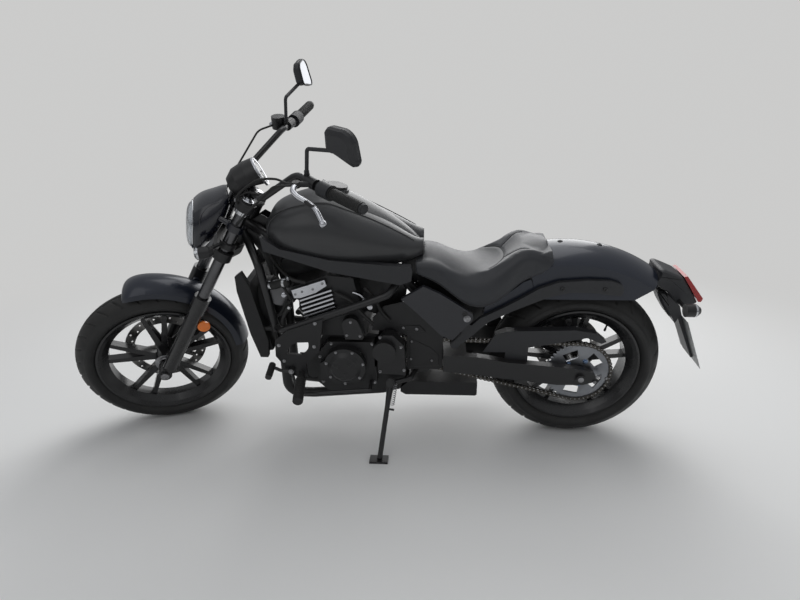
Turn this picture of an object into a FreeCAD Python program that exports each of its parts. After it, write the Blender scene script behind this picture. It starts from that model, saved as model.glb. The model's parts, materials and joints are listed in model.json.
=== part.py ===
import FreeCAD, Part
import math
import os

V = FreeCAD.Vector

# Whole machine, millimetres. Upright frame: x back, y to the right, z up,
# origin on the road under the engine.
RAKE = 31.0                 # head angle from vertical, degrees
LEAN = 9.03                 # parked lean to the left, degrees
STEER = 23.12               # bars turned to the left when parked, degrees
RUN_FIT = 0.05              # radial clearance of a running fit
SEAT_GAP = 0.3              # gap between pieces bolted together
CLEAR = 6.0                 # clearance of a moving piece

# Tyres and rims
FRONT_BEAD, FRONT_SECTION, FRONT_CROWN = 229.0, 83.6, 60.0
REAR_BEAD, REAR_SECTION, REAR_CROWN = 217.0, 95.0, 80.0
FRONT_R, REAR_R = FRONT_BEAD + FRONT_SECTION, REAR_BEAD + REAR_SECTION
TYRE_WALL = 9.0
FLANGE = 12.0               # rim flange above the bead seat
RIM_WALL = 8.0
FRONT_RIM_HALF, REAR_RIM_HALF = 50.0, 66.0
FRONT_WELL, REAR_WELL = 20.0, 22.0
AXLE_R = 10.0
AXLE_BORE_R = 6.5           # hollow front axle, takes a paddock stand's pin
FRONT_HUB_R, REAR_HUB_R = 38.0, 42.0
FRONT_HUB_HALF = 50.0
REAR_HUB_LEFT, REAR_HUB_RIGHT = -94.0, 90.0
FRONT_DISC_R = FRONT_BEAD - 79.0
REAR_DISC_R = REAR_BEAD - 92.0
DISC_T, DISC_HOLE_R = 5.0, 4.0

# Front end, measured in the head frame
FORK_OFFSET = 48.0          # tubes ahead of the steering axis
AXLE_LEAD = 10.14           # axle ahead of the tubes
FORK_Y = 98.0
TUBE_R = 20.5
SLIDER_R = 27.0
CLAMP_WALL = 12.0           # yoke round a tube
LUG_OUT = 24.0              # axle lug beyond a tube's middle
STEM_R = 17.0
HEAD_R = 30.0
LOWER_YOKE = (872.0, 905.0)
UPPER_YOKE = (1072.0, 1100.0)
TUBE_PROUD = 6.0            # tube above the upper yoke
SLIDER_TOP = 700.0
BAR_R = 11.0
GRIP_R = 16.5

# Engine and what hangs on it
CASE_HALF = 118.0           # half width of the crankcase
BLOCK_HALF = 136.0
BLOCK_FRONT = -224.0
BLOCK_FOOT = 470.0          # top of the crankcase
PIPE_R, PIPE_AHEAD = 19.0, 72.0
RADIATOR_AHEAD, RADIATOR_LOW = 114.0, 372.0
TYRE_GAP = 108.9            # front tyre to the radiator

# Drive line
CHAIN_Y, CHAIN_W, CHAIN_H, CHAIN_PITCH = -98.0, 17.0, 15.0, 15.875
REAR_TEETH, FRONT_TEETH = 46, 15
FRONT_SPROCKET = (100.0, 405.0)
SPROCKET_T = 7.0
PIVOT = (225.0, 365.0)      # swingarm pivot
PIVOT_TUBE_R = 28.0
PLATE_Y, PLATE_T = 70.0, 14.0
CROSS_REAR = 157.0          # pivot to the back of the swingarm's cross box
ARM_GAP = 93.5              # cross box to the rear tyre
ARM_Y, ARM_T = 113.0, 30.0
ARM_STEP = 7.0              # right arm further out, for the disc

# Frame tubes
RAIL_TUBE_R, DOWN_TUBE_R, OUTER_TUBE_R = 17.0, 15.0, 13.0
RAIL_FRONT, RAIL_REAR = V(-270, -72, 795), V(150, -88, 682)
KNEE = V(RAIL_FRONT.x - 30, -116, 478)
OUTER_FRONT, OUTER_REAR = V(-262, -170, 503), V(44, -170, 618)
SHOCK_PIN_R, SHOCK_Y = 8.0, 163.0

FRONT_AXLE = V(BLOCK_FRONT - RADIATOR_AHEAD - 28.0 - TYRE_GAP - FRONT_R, 0, FRONT_R)
REAR_AXLE = V(PIVOT[0] + CROSS_REAR + ARM_GAP + REAR_R, 0, REAR_R)
FRONT_C, REAR_C = (FRONT_AXLE.x, FRONT_AXLE.z), (REAR_AXLE.x, REAR_AXLE.z)
WHEELBASE = REAR_AXLE.x - FRONT_AXLE.x
SLOPE = math.radians(RAKE)
TRAIL = FRONT_R * math.tan(SLOPE) - (FORK_OFFSET + AXLE_LEAD) / math.cos(SLOPE)
GROUND = V(FRONT_AXLE.x - TRAIL, 0, 0)
AXIS = V(math.sin(SLOPE), 0, math.cos(SLOPE))
HEAD = FreeCAD.Placement(GROUND, FreeCAD.Rotation(V(0, 1, 0), RAKE))
TUBE_TOP = UPPER_YOKE[1] + TUBE_PROUD
REAR_PITCH_R = CHAIN_PITCH / 2 / math.sin(math.pi / REAR_TEETH)
FRONT_PITCH_R = CHAIN_PITCH / 2 / math.sin(math.pi / FRONT_TEETH)

# Front mudguard, an arc about a centre near the axle
FRONT_FENDER_C = (FRONT_AXLE.x - 23.0, FRONT_R + 23.0)
FRONT_FENDER_R = FRONT_R + 32.4
FRONT_FENDER_W = FRONT_CROWN + 4.0
FENDER_T = 3.0

# Rear mudguard, its rails and the tail that hangs on it
FENDER_C = (REAR_AXLE.x - 72.5, REAR_R - 88.0)
FENDER_R = REAR_R + 242.0
FENDER_W = 111.0
SKIRT_Z = FENDER_C[1] + 383.0
FENDER_START = 105.0        # front end of the mudguard, degrees above level behind
TAIL_ANGLE = 55.5           # end of the mudguard, degrees above level
RAIL_Y, RAIL_T = FENDER_W + SEAT_GAP, 18.0
RAIL_OUT = RAIL_Y + RAIL_T
RACK_BOLTS = (FENDER_C[0] - 24.0, FENDER_C[0] + 116.0)
RACK_BOLT_Z, RACK_BOLT_R = FENDER_C[1] + 431.5, 3.4
TAIL_HALF, LENS_HALF = 62.0, 54.0
PLATE_W, PLATE_H, PLATE_THICK = 180.0, 200.0, 1.5

# Side stand
STAND_PIVOT = V(111.0, -165.0, 290.0)
STAND_FOOT = V(76.0, -300.0, 50.0)
STAND_FOLDED = V(260.0, -29.0, -21.0)
STAND_PIN_R, STAND_LEG_R, STAND_HUB_R = 6.0, 9.2, 16.0

# Fuel cap
CAP_POS, CAP_TILT, CAP_R = V(-70.0, 0.0, 966.0), 12.0, 38.0


# Shape helpers
def vec(p):
    return p if isinstance(p, V) else V(*p)


def rod(p, q, r):
    """Round bar from p to q."""
    p, q = vec(p), vec(q)
    return Part.makeCylinder(r, (q - p).Length, p, q - p)


def taper(p, q, r0, r1):
    """Cone frustum from p to q."""
    p, q = vec(p), vec(q)
    return Part.makeCone(r0, r1, (q - p).Length, p, q - p)


def box(x0, x1, y0, y1, z0, z1):
    return Part.makeBox(x1 - x0, y1 - y0, z1 - z0, V(x0, y0, z0))


def fuse(shapes):
    """One solid from several that touch."""
    out = shapes[0]
    for s in shapes[1:]:
        out = out.fuse(s)
    return out.removeSplitter()


def group(shapes):
    return Part.makeCompound(list(shapes))


def sided(points, side):
    """Left-hand points (y negative) put on the given side."""
    return [V(p[0], -side * p[1], p[2]) for p in points]


def bent(points, r, bend):
    """Round bar along straight runs with tangent arcs of radius bend at the corners."""
    pts = [vec(p) for p in points]
    edges, start = [], pts[0]
    for i in range(1, len(pts) - 1):
        a, b = (pts[i - 1] - pts[i]), (pts[i + 1] - pts[i])
        la, lb = a.Length, b.Length
        a.normalize()
        b.normalize()
        half = a.getAngle(b) / 2
        cut = min(bend / math.tan(half), 0.48 * la, 0.48 * lb)
        p, q = pts[i] + a * cut, pts[i] + b * cut
        mid = a + b
        mid.normalize()
        radius = cut * math.tan(half)
        centre = pts[i] + mid * (radius / math.sin(half))
        edges.append(Part.makeLine(start, p))
        edges.append(Part.Arc(p, centre - mid * radius, q).toShape())
        start = q
    edges.append(Part.makeLine(start, pts[-1]))
    path = Part.Wire(edges)
    way = pts[1] - pts[0]
    face = Part.Wire([Part.makeCircle(r, pts[0], way)])
    return path.makePipeShell([face], True, True)


def outline(points, place):
    """Closed wire; a point with a third entry is the middle of an arc."""
    pts = [place(p) for p in points]
    edges, i, n = [], 0, len(points)
    while i < n:
        j = (i + 1) % n
        if len(points[j]) > 2:
            edges.append(Part.Arc(pts[i], pts[j], pts[(i + 2) % n]).toShape())
            i += 2
        else:
            edges.append(Part.makeLine(pts[i], pts[j]))
            i += 1
    return Part.Wire(edges)


def slab(points, y0, y1):
    """Plate with an (x, z) outline between two y planes."""
    wire = outline(points, lambda p: V(p[0], y0, p[1]))
    return Part.Face(wire).extrude(V(0, y1 - y0, 0))


def side_slab(points, side, y0, y1):
    """Plate on one side, y0 and y1 measured outwards from the middle."""
    return slab(points, *sorted((side * y0, side * y1)))


def about(base, points):
    """Outline points given from a base point (x, z)."""
    return [(base[0] + p[0], base[1] + p[1]) + tuple(p[2:]) for p in points]


def turned(points, centre, a0=0.0, a1=360.0):
    """Solid turned about a y axis; points are (y, radius), angles from straight back up."""
    cx, cz = centre
    wire = outline(points, lambda p: V(cx + p[1], p[0], cz))
    solid = Part.Face(wire).revolve(V(cx, 0, cz), V(0, -1, 0), a1 - a0)
    solid.rotate(V(cx, 0, cz), V(0, -1, 0), a0)
    return solid


def section(base, up, yb, yw, hw, ys, hs, ht):
    """Closed section: flat foot, bulged sides, crowned top. Heights run along up from base."""
    base, up = vec(base), vec(up)
    up.normalize()
    pts = [(-yb, 0), (yb, 0), (yw, hw, 1), (ys, hs), (0, ht, 1), (-ys, hs), (-yw, hw, 1)]
    return outline(pts, lambda p: base + up * p[1] + V(0, p[0], 0))


def skin(sections):
    """Solid through a few sections."""
    return Part.makeLoft(sections, True, False)


def upright_sections(table):
    """Sections on x planes from rows x, zb, yb, zw, yw, zs, ys, zt."""
    rows = []
    for x, zb, yb, zw, yw, zs, ys, zt in table:
        rows.append(section((x, 0, zb), (0, 0, 1), yb, yw, zw - zb, ys, zs - zb, zt - zb))
    return rows


def in_head(shape):
    """From the head frame (back, right, up the steering axis) to the upright frame."""
    out = shape.copy()
    out.Placement = HEAD.multiply(out.Placement)
    return out


def head_point(b, y, t):
    return HEAD.multVec(V(b, y, t))


# Frame and running gear
def main_frame():
    """Head tube, rails under the tank, down tubes, outer tubes and pivot plates."""
    px, pz = PIVOT
    parts = [in_head(rod((0, 0, LOWER_YOKE[1] + CLEAR), (0, 0, UPPER_YOKE[0] - CLEAR), HEAD_R))]
    for side in (-1, 1):
        top, low = head_point(9, -24, UPPER_YOKE[0] - 73), head_point(14, -22, LOWER_YOKE[1] + 55)
        rail = [top, RAIL_FRONT, RAIL_REAR, (px - 17, -78, pz + 245), (px - 9, -77, pz + 135)]
        down = [low, low + V(61, -82, -91), KNEE]
        outer = [KNEE + V(0, 2, 10), OUTER_FRONT, OUTER_REAR, OUTER_REAR + V(66, 6, 24), RAIL_REAR + V(4, 2, -2)]
        parts.append(bent(sided(rail, side), RAIL_TUBE_R, 60))
        parts.append(bent(sided(down, side), DOWN_TUBE_R, 60))
        parts.append(bent(sided(outer, side), OUTER_TUBE_R, 30))
        plate = about(PIVOT, [(-29, 271), (19, 271), (37, 195), (45, -45), (10, -80), (-43, -75), (-53, 55), (-35, 195)])
        parts.append(side_slab(plate, side, PLATE_Y, PLATE_Y + PLATE_T))
    bar = V(px + 19, 0, pz + 247)
    parts.append(rod(bar - V(0, RAIL_Y - SEAT_GAP, 0), bar + V(0, RAIL_Y - SEAT_GAP, 0), 14))
    parts.append(rod((px - 20, -PLATE_Y - 10, pz - 59), (px - 20, PLATE_Y + 10, pz - 59), 12))
    a = stand_axis()
    parts.append(rod(STAND_PIVOT - a * 22, STAND_PIVOT - a * 10, STAND_HUB_R + 2))
    parts.append(rod(STAND_PIVOT - a * 12, STAND_PIVOT + a * 10.5, STAND_PIN_R))
    parts.append(rod(STAND_PIVOT + a * 10, STAND_PIVOT + a * 14, STAND_PIN_R + 4))
    parts.append(bent([STAND_PIVOT - a * 19.6, (px - 45, -136, pz - 71), (px - 19, -PLATE_Y - 8, pz - 59)], 9, 14))
    pin = shock_pins()[0]
    parts.append(rod(V(pin.x, PLATE_Y + 10, pin.z), pin + V(0, 21, 0), SHOCK_PIN_R))
    frame = fuse(parts)
    bore = in_head(rod((0, 0, LOWER_YOKE[0]), (0, 0, UPPER_YOKE[1]), STEM_R + RUN_FIT))
    return frame.cut(bore)


def rear_rails():
    """Flat rails that carry the seat and the rear mudguard, with their legs to the pivot plates."""
    front = about(PIVOT, [(7, 273), (37, 273), (105, 197), (170, 147), (198, 175), (264, 210)])
    back = about(FENDER_C, [(-161, 390), (-98, 431), (-35, 454), (62, 462), (134, 459), (167, 448), (178, 426, 1),
                            (171, 406), (68, 418), (2, 417), (-69, 398), (-185, 344)])
    leg = about(PIVOT, [(226, 160), (180, 112), (127, 62), (110, 54, 1), (98, 70), (140, 118), (128, 128), (75, 165),
                        (7, 225)])
    out = []
    for s in (-1, 1):
        rail = side_slab(front + back + leg, s, RAIL_Y, RAIL_OUT)
        for x in RACK_BOLTS:
            rail = rail.cut(rod((x, s * (RAIL_Y - 1), RACK_BOLT_Z), (x, s * (RAIL_OUT + 1), RACK_BOLT_Z), RACK_BOLT_R))
        out.append(rail)
    return group(out)


def shock_pins():
    """Centres of the shock's two eyes, on the frame and on the swingarm."""
    px, pz = PIVOT
    return V(px + 29, SHOCK_Y, pz + 140), V(px + 281, SHOCK_Y, pz + 43)


def swingarm():
    """Pivot tube, cross box, both arms and the rear axle."""
    px, pz = PIVOT
    ax, az = REAR_AXLE.x, REAR_AXLE.z
    bx = px + CROSS_REAR
    parts = [rod((px, -PLATE_Y + SEAT_GAP, pz), (px, PLATE_Y - SEAT_GAP, pz), PIVOT_TUBE_R),
             box(bx - 82, bx, -ARM_Y - ARM_T, ARM_Y + ARM_STEP + ARM_T, pz - 35, pz + 30)]
    for s in (-1, 1):
        parts.append(side_slab([(px, pz + 26), (bx - 77, pz + 27), (bx - 77, pz - 30), (px, pz - 26)], s, 34, 66))
    arm = [(bx - 82, pz + 30), (bx + 38, pz + 27), (bx + 145, pz + 7), (ax - 88, az + 46), (ax + 12, az + 33),
           (ax + 48, az + 18), (ax + 54, az + 1, 1), (ax + 48, az - 16), (ax + 12, az - 28), (ax - 79, az - 30),
           (bx + 175, pz - 65), (bx + 38, pz - 47), (bx - 82, pz - 35)]
    right = ARM_Y + ARM_STEP
    parts.append(side_slab(arm, -1, ARM_Y, ARM_Y + ARM_T))
    parts.append(side_slab(arm, 1, right, right + ARM_T))
    pin = shock_pins()[1]
    parts.append(side_slab(about((pin.x, pin.z), [(-36, -40), (-18, 17), (19, 17), (39, -40)]), 1, right + 2, right + 12))
    parts.append(rod(V(pin.x, right + 5, pin.z), pin + V(0, 21, 0), SHOCK_PIN_R))
    left_end, right_end = -ARM_Y - ARM_T - 11, right + ARM_T + 10
    parts.append(rod((ax, left_end, az), (ax, right_end, az), AXLE_R))
    parts.append(rod((ax, left_end, az), (ax, -ARM_Y - ARM_T + 0.1, az), 17))
    parts.append(rod((ax, right + ARM_T - 0.1, az), (ax, right_end, az), 17))
    return fuse(parts)


def shock():
    """Offset lay-down shock on the right, its spring as one sleeve."""
    p, q = shock_pins()
    way = q - p
    way.normalize()
    eye = V(0, 13, 0)
    ends = [rod(e - eye, e + eye, 17) for e in (p, q)]
    spring = rod(p + way * 55, q - way * 40, 29)
    body = rod(p + way * 12, p + way * 60, 22)
    shaft = rod(q - way * 45, q - way * 12, 12)
    shape = fuse(ends + [body, spring, shaft])
    for e in (p, q):
        shape = shape.cut(rod(e - eye * 2, e + eye * 2, SHOCK_PIN_R + RUN_FIT))
    return shape


def stand_axis():
    """Hinge axis of the side stand, normal to its leg down and its leg folded."""
    a = (STAND_FOOT - STAND_PIVOT).cross(STAND_FOLDED)
    a.normalize()
    return a


def side_stand(floor):
    """Leg from its hinge to a foot lying on the road. floor is a point and normal of the road."""
    a = stand_axis()
    point, normal = floor
    foot = STAND_FOOT - normal * ((STAND_FOOT - point).dot(normal) - STAND_LEG_R - 0.8)
    hub = rod(STAND_PIVOT - a * 9.4, STAND_PIVOT + a * 9.4, STAND_HUB_R)
    leg = rod(STAND_PIVOT, foot, STAND_LEG_R)
    across = normal.cross(V(1, 0, 0))
    across.normalize()
    along = across.cross(normal)
    pad = Part.makeBox(66, 46, 8)
    corner = foot - normal * (STAND_LEG_R + 0.8) - along * 36 - across * 23
    pad.Placement = FreeCAD.Placement(corner, FreeCAD.Rotation(along, across, normal, "ZXY"))
    down = foot - STAND_PIVOT
    down.normalize()
    side = a.cross(down)
    tang = rod(STAND_PIVOT + down * 92, STAND_PIVOT + down * 92 + side * 26, 4)
    web = Part.Face(Part.makePolygon([STAND_PIVOT + p - a * 4 for p in
                                      (side * 13, side * -13, down * 90 - side * 8, down * 90 + side * 8, side * 13)]))
    pin = rod(STAND_PIVOT - a * 30, STAND_PIVOT + a * 30, STAND_PIN_R + RUN_FIT)
    return fuse([hub, leg, pad, tang, web.extrude(a * 8)]).cut(pin)


# Wheels
def tyre(radius, crown, bead, half, centre):
    """Hollow tyre: round crown, side walls down to the beads inside the rim flanges."""
    mid = radius - crown
    rise = math.radians(62)
    ys, rs = crown * math.sin(rise), mid + crown * math.cos(rise)
    yi, ri = ys - TYRE_WALL, rs - TYRE_WALL * 0.6
    side = crown * 0.985
    top = bead + FLANGE + 1
    low = (top + rs) / 2
    yb = half - 7 - SEAT_GAP
    y2 = yb - TYRE_WALL - 1
    pts = [(-yb, bead), (-yb, top), (-side, low, 1), (-ys, rs), (0, radius, 1), (ys, rs), (side, low, 1),
           (yb, top), (yb, bead), (y2, bead), (side - TYRE_WALL, low), (yi, ri), (0, radius - TYRE_WALL),
           (-yi, ri), (TYRE_WALL - side, low), (-y2, bead)]
    return turned(pts, centre)


def rim(bead, half, well, hub, centre, spoke_y, arms):
    """Cast wheel: barrel, hub with its bore, forked spokes."""
    lip = bead + FLANGE
    barrel = [(-half, lip), (-half + 5, lip), (-half + 7, bead), (-half + 20, bead), (-half + 34, bead - well),
              (half - 34, bead - well), (half - 20, bead), (half - 7, bead), (half - 5, lip), (half, lip),
              (half, lip - 7), (half - 10, bead - RIM_WALL), (half - 30, bead - well - RIM_WALL),
              (30 - half, bead - well - RIM_WALL), (10 - half, bead - RIM_WALL), (-half, lip - 7)]
    y0, y1, hub_r = hub
    cx, cz = centre
    parts = [turned(barrel, centre), rod((cx, y0, cz), (cx, y1, cz), hub_r)]
    reach = bead - well - RIM_WALL / 2
    for i in range(5):
        for fork in (-arms, arms):
            a = math.radians(90 + 72 * i)
            tip = V(math.cos(a + fork), 0, math.sin(a + fork)) * reach
            root = V(math.cos(a + fork * 0.45), 0, math.sin(a + fork * 0.45)) * (hub_r - 6)
            way = tip - root
            side = V(0, 1, 0).cross(way)
            side.normalize()
            ring = [root - side * 12, tip - side * 8, tip + side * 8, root + side * 12]
            wire = Part.makePolygon([V(cx, -spoke_y, cz) + p for p in ring + ring[:1]])
            parts.append(Part.Face(wire).extrude(V(0, 2 * spoke_y, 0)))
    wheel = fuse(parts)
    return wheel.cut(rod((cx, y0 - 9, cz), (cx, y1 + 9, cz), AXLE_R + RUN_FIT))


def disc(radius, y0, hub_r, bore_r, centre, holes):
    """Drilled brake disc on five arms; y0 is its inner face."""
    cx, cz = centre
    y1 = y0 + DISC_T
    inner = radius - 35
    ring = rod((cx, y0, cz), (cx, y1, cz), radius).cut(rod((cx, y0 - 1, cz), (cx, y1 + 1, cz), inner))
    parts = [ring, rod((cx, y0, cz), (cx, y1, cz), hub_r)]
    for i in range(5):
        arm = box(cx + hub_r - 8, cx + inner + 6, y0, y1, cz - 11, cz + 11)
        arm.rotate(V(cx, 0, cz), V(0, 1, 0), 72 * i + 36)
        parts.append(arm)
    drills = [rod((cx, y0 - 20, cz), (cx, y1 + 20, cz), bore_r)]
    for i in range(holes):
        a = 2 * math.pi * i / holes
        r = inner + (10 if i % 2 else 24)
        x, z = cx + r * math.cos(a), cz + r * math.sin(a)
        drills.append(rod((x, y0 - 1, z), (x, y1 + 1, z), DISC_HOLE_R))
    return fuse(parts).cut(drills)


def front_disc():
    return disc(FRONT_DISC_R, FRONT_HUB_HALF, 44, 24, FRONT_C, 30)


def rear_disc():
    return disc(REAR_DISC_R, REAR_HUB_RIGHT, 46, 24, REAR_C, 24)


def rear_sprocket():
    """Drive sprocket: toothed ring, five windows."""
    cx, cz = REAR_C
    y0 = CHAIN_Y - SPROCKET_T / 2
    root = REAR_PITCH_R - CHAIN_H / 2 - 1.0
    pts = []
    for i in range(REAR_TEETH * 2):
        a = math.pi * i / REAR_TEETH
        r = root - 1.2 if i % 2 else root
        pts.append(V(cx + r * math.cos(a), y0, cz + r * math.sin(a)))
    plate = Part.Face(Part.makePolygon(pts + pts[:1])).extrude(V(0, SPROCKET_T, 0))
    inside, outside = REAR_HUB_R + 20, root - 14.5
    for i in range(5):
        a0, a1 = math.radians(72 * i + 20), math.radians(72 * i + 64)
        ring = [(inside, a0), (inside, a1), (outside, a1 - 0.08), (outside, a0 + 0.08)]
        wire = Part.makePolygon([V(cx + r * math.cos(a), y0 - 1, cz + r * math.sin(a))
                                 for r, a in ring + ring[:1]])
        plate = plate.cut(Part.Face(wire).extrude(V(0, SPROCKET_T + 2, 0)))
    return plate.cut(rod((cx, y0 - 1, cz), (cx, y0 + SPROCKET_T + 1, cz), 30))


def chain():
    """One closed loop of links, its outline waisted between the pins."""
    (fx, fz), (rx, rz) = FRONT_SPROCKET, (REAR_AXLE.x, REAR_AXLE.z)
    dist = math.hypot(rx - fx, rz - fz)
    base = math.atan2(rz - fz, rx - fx)
    open_angle = math.asin((REAR_PITCH_R - FRONT_PITCH_R) / dist)
    up, down = base + math.pi / 2 + open_angle, base - math.pi / 2 - open_angle
    run = dist * math.cos(open_angle)
    arc_rear = REAR_PITCH_R * (up - down)
    arc_front = FRONT_PITCH_R * (2 * math.pi - (up - down))
    total = 2 * run + arc_rear + arc_front
    links = int(round(total / CHAIN_PITCH))
    steps = links * 2

    def at(s, off):
        if s < arc_rear:
            a = down + s / REAR_PITCH_R
            return rx + (REAR_PITCH_R + off) * math.cos(a), rz + (REAR_PITCH_R + off) * math.sin(a)
        s -= arc_rear
        if s < run:
            a = up
            k = s / run
            x = rx + (fx - rx) * k + (REAR_PITCH_R + (FRONT_PITCH_R - REAR_PITCH_R) * k + off) * math.cos(a)
            z = rz + (fz - rz) * k + (REAR_PITCH_R + (FRONT_PITCH_R - REAR_PITCH_R) * k + off) * math.sin(a)
            return x, z
        s -= run
        if s < arc_front:
            a = up + s / FRONT_PITCH_R
            return fx + (FRONT_PITCH_R + off) * math.cos(a), fz + (FRONT_PITCH_R + off) * math.sin(a)
        k = (s - arc_front) / run
        a = down
        grow = FRONT_PITCH_R + (REAR_PITCH_R - FRONT_PITCH_R) * k + off
        return fx + (rx - fx) * k + grow * math.cos(a), fz + (rz - fz) * k + grow * math.sin(a)

    y0 = CHAIN_Y - CHAIN_W / 2

    def loop(sign):
        pts = []
        for i in range(steps):
            off = CHAIN_H / 2 if i % 2 else CHAIN_H / 2 - 2.5
            x, z = at(total * i / steps, sign * off)
            pts.append(V(x, y0, z))
        return Part.makePolygon(pts + pts[:1])

    outer = Part.Face(loop(1)).extrude(V(0, CHAIN_W, 0))
    inner = Part.Face(loop(-1)).extrude(V(0, CHAIN_W, 0))
    return outer.cut(inner)


# Engine
def engine_cases():
    """Crankcase block with its sump and the chain's pocket."""
    case = [(-166, 262), (-166, 400), (-128, BLOCK_FOOT), (40, BLOCK_FOOT), (120, 462), (162, 420), (164, 300),
            (140, 235), (60, 214), (-60, 210), (-130, 225)]
    low = slab(case, -CASE_HALF, CASE_HALF)
    left = slab([(-150, 275), (-150, 400), (-110, 452), (60, 452), (60, 275)], -CASE_HALF - 34, -CASE_HALF + 1)
    right = slab([(-150, 262), (-150, 400), (-110, 452), (110, 440), (150, 380), (120, 255)],
                 CASE_HALF - 1, CASE_HALF + 40)
    hollow = about(FRONT_SPROCKET, [(-46, -53), (-46, 47), (-20, 75), (70, 75), (70, -75)])
    pocket = slab(hollow, CHAIN_Y - 21, CHAIN_Y + 16)
    return fuse([low.cut(pocket), left.cut(slab(hollow, -CASE_HALF - 40, CHAIN_Y + 16)), right])


def cylinder_block():
    """Inclined twin cylinders and head, cooling ribs along both sides."""
    x, z, y = BLOCK_FRONT, BLOCK_FOOT + SEAT_GAP, BLOCK_HALF
    block = slab([(-150, z), (x + 28, z + 130), (x, z + 152), (x + 2, z + 185), (-100, 700), (-10, 690),
                  (8, 600), (28, z)], -y, y)
    parts = [block]
    for side in (-1, 1):
        for k in range(6):
            rib_z = z + 66 + 15.5 * k
            rib_x = x + 39 - 2.2 * k
            rib = [(rib_x, rib_z), (rib_x + 112, rib_z + 41), (rib_x + 114, rib_z + 34), (rib_x + 2, rib_z - 7)]
            parts.append(side_slab(rib, side, y - 1, y + 14))
        plate = about((x, z), [(3, 180), (10, 151), (34, 152), (88, 172), (126, 198), (120, 220)])
        parts.append(side_slab(plate, side, y - 1, y + 15))
    return fuse(parts)


def engine_covers():
    """Generator, sprocket and starter covers on the left, clutch cover on the right."""
    gx, gz = -50, 366
    face = CASE_HALF + 34 + SEAT_GAP
    gen = fuse([rod((gx, -face, gz), (gx, -face - 32, gz), 74),
                taper((gx, -face - 31.6, gz), (gx, -face - 42, gz), 60, 46),
                slab([(-140, 300), (-140, 372), (-40, 440), (10, 420), (10, 300)], -face - 18, -face)])
    lug = about(FRONT_SPROCKET, [(-34, -75), (-34, 50), (-10, 81), (22, 81), (60, 41), (66, -81)])
    out = CASE_HALF + SEAT_GAP
    cap = V(FRONT_SPROCKET[0] - 8, 0, FRONT_SPROCKET[1] + 22)
    spr = fuse([slab(lug, -out - 44, -out), rod(cap - V(0, out + 43, 0), cap - V(0, out + 64, 0), 40)])
    z = BLOCK_FOOT + 0.5
    oval = slab([(-44, z), (-52, 520), (-30, 552, 1), (2, 540), (22, 480), (16, z)],
                -BLOCK_HALF - 30, -BLOCK_HALF - SEAT_GAP)
    cx, cz = -20, 350
    side = CASE_HALF + 40 + SEAT_GAP
    clutch = fuse([rod((cx, side, cz), (cx, side + 32, cz), 86),
                   taper((cx, side + 31.6, cz), (cx, side + 44, cz), 70, 50),
                   slab([(20, 262), (20, 430), (96, 424), (138, 376), (112, 270)], side, side + 22)])
    return group([gen, spr, oval, clutch])


def radiator():
    """Core with tanks and the side shrouds, fan housing behind."""
    base = (BLOCK_FRONT - RADIATOR_AHEAD, RADIATOR_LOW)
    core = slab(about(base, [(-70, 276), (-40, 284), (0, 98), (16, 20), (-14, 14), (-34, 98)]), -112, 112)
    side = about(base, [(-80, 318), (-58, 334), (-34, 283), (8, 68), (0, 0), (-28, 0), (-54, 98), (-80, 263)])
    parts = [core]
    for s in (-1, 1):
        parts.append(side_slab(side, s, 111, 133))
        parts.append(rod((base[0] - 7, s * 120, KNEE.z + 6), (KNEE.x, s * 118, KNEE.z + 6), 8))
    fan = rod((base[0] - 34, 0, base[1] + 168), (base[0] + 10, 0, base[1] + 168), 92)
    grille = [slab(about(base, [(-76 + 4.5 * k, 256 - 21 * k), (-60 + 4.5 * k, 258 - 21 * k),
                                (-60 + 4.5 * k, 254 - 21 * k), (-76 + 4.5 * k, 252 - 21 * k)]), -112, 112)
              for k in range(8)]
    return max(fuse(parts + [fan] + grille).cut(main_frame()).Solids, key=lambda b: b.Volume)


def exhaust():
    """Two head pipes, collector box under the engine, silencer on the right."""
    parts = []
    front = BLOCK_FRONT - PIPE_AHEAD
    for s in (-1, 1):
        pts = [(BLOCK_FRONT - 2, s * 58, 638), (front, s * 58, 632), (front - 4, s * 58, 172), (front + 96, s * 52, 166),
               (70, s * 46, 188), (170, s * 45, 222)]
        parts.append(bent(pts, PIPE_R, 70))
    parts.append(slab([(142, 216), (142, 232), (172, 262), (427, 262), (427, 208), (420, 204), (160, 204)], -108, CASE_HALF))
    parts.append(skin([Part.Wire([Part.makeCircle(r, V(x, y, z), V(1, 0.09, 0.1))])
                       for x, y, z, r in ((180, 150, 226, 40), (300, 162, 238, 52), (520, 180, 262, 52),
                                          (560, 184, 266, 44))]))
    parts.append(rod((200, 100, 230), (230, 160, 230), 26))
    body = fuse(parts)
    return body.cut(rod((500, 178, 260), (575, 185, 268), 26))


# Bodywork
def tank_body():
    rows = [(-300, 812, 66, 838, 96, 862, 58, 870), (-262, 784, 104, 840, 138, 908, 84, 926),
            (-180, 759, 121, 830, 157, 935, 100, 955), (-90, 741, 126, 820, 158, 943, 97, 966),
            (20, 733, 120, 800, 148, 906, 66, 927), (110, 731, 105, 785, 128, 861, 44, 873),
            (190, 740, 84, 765, 102, 802, 30, 811), (226, 752, 66, 765, 78, 772, 24, 777)]
    return skin(upright_sections(rows))


def cap_axes():
    t = math.radians(CAP_TILT)
    return V(math.sin(t), 0, math.cos(t)), V(math.cos(t), 0, -math.sin(t))


def cap_hinge():
    n, back = cap_axes()
    return CAP_POS - back * (CAP_R + 8) + n * 9


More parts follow.
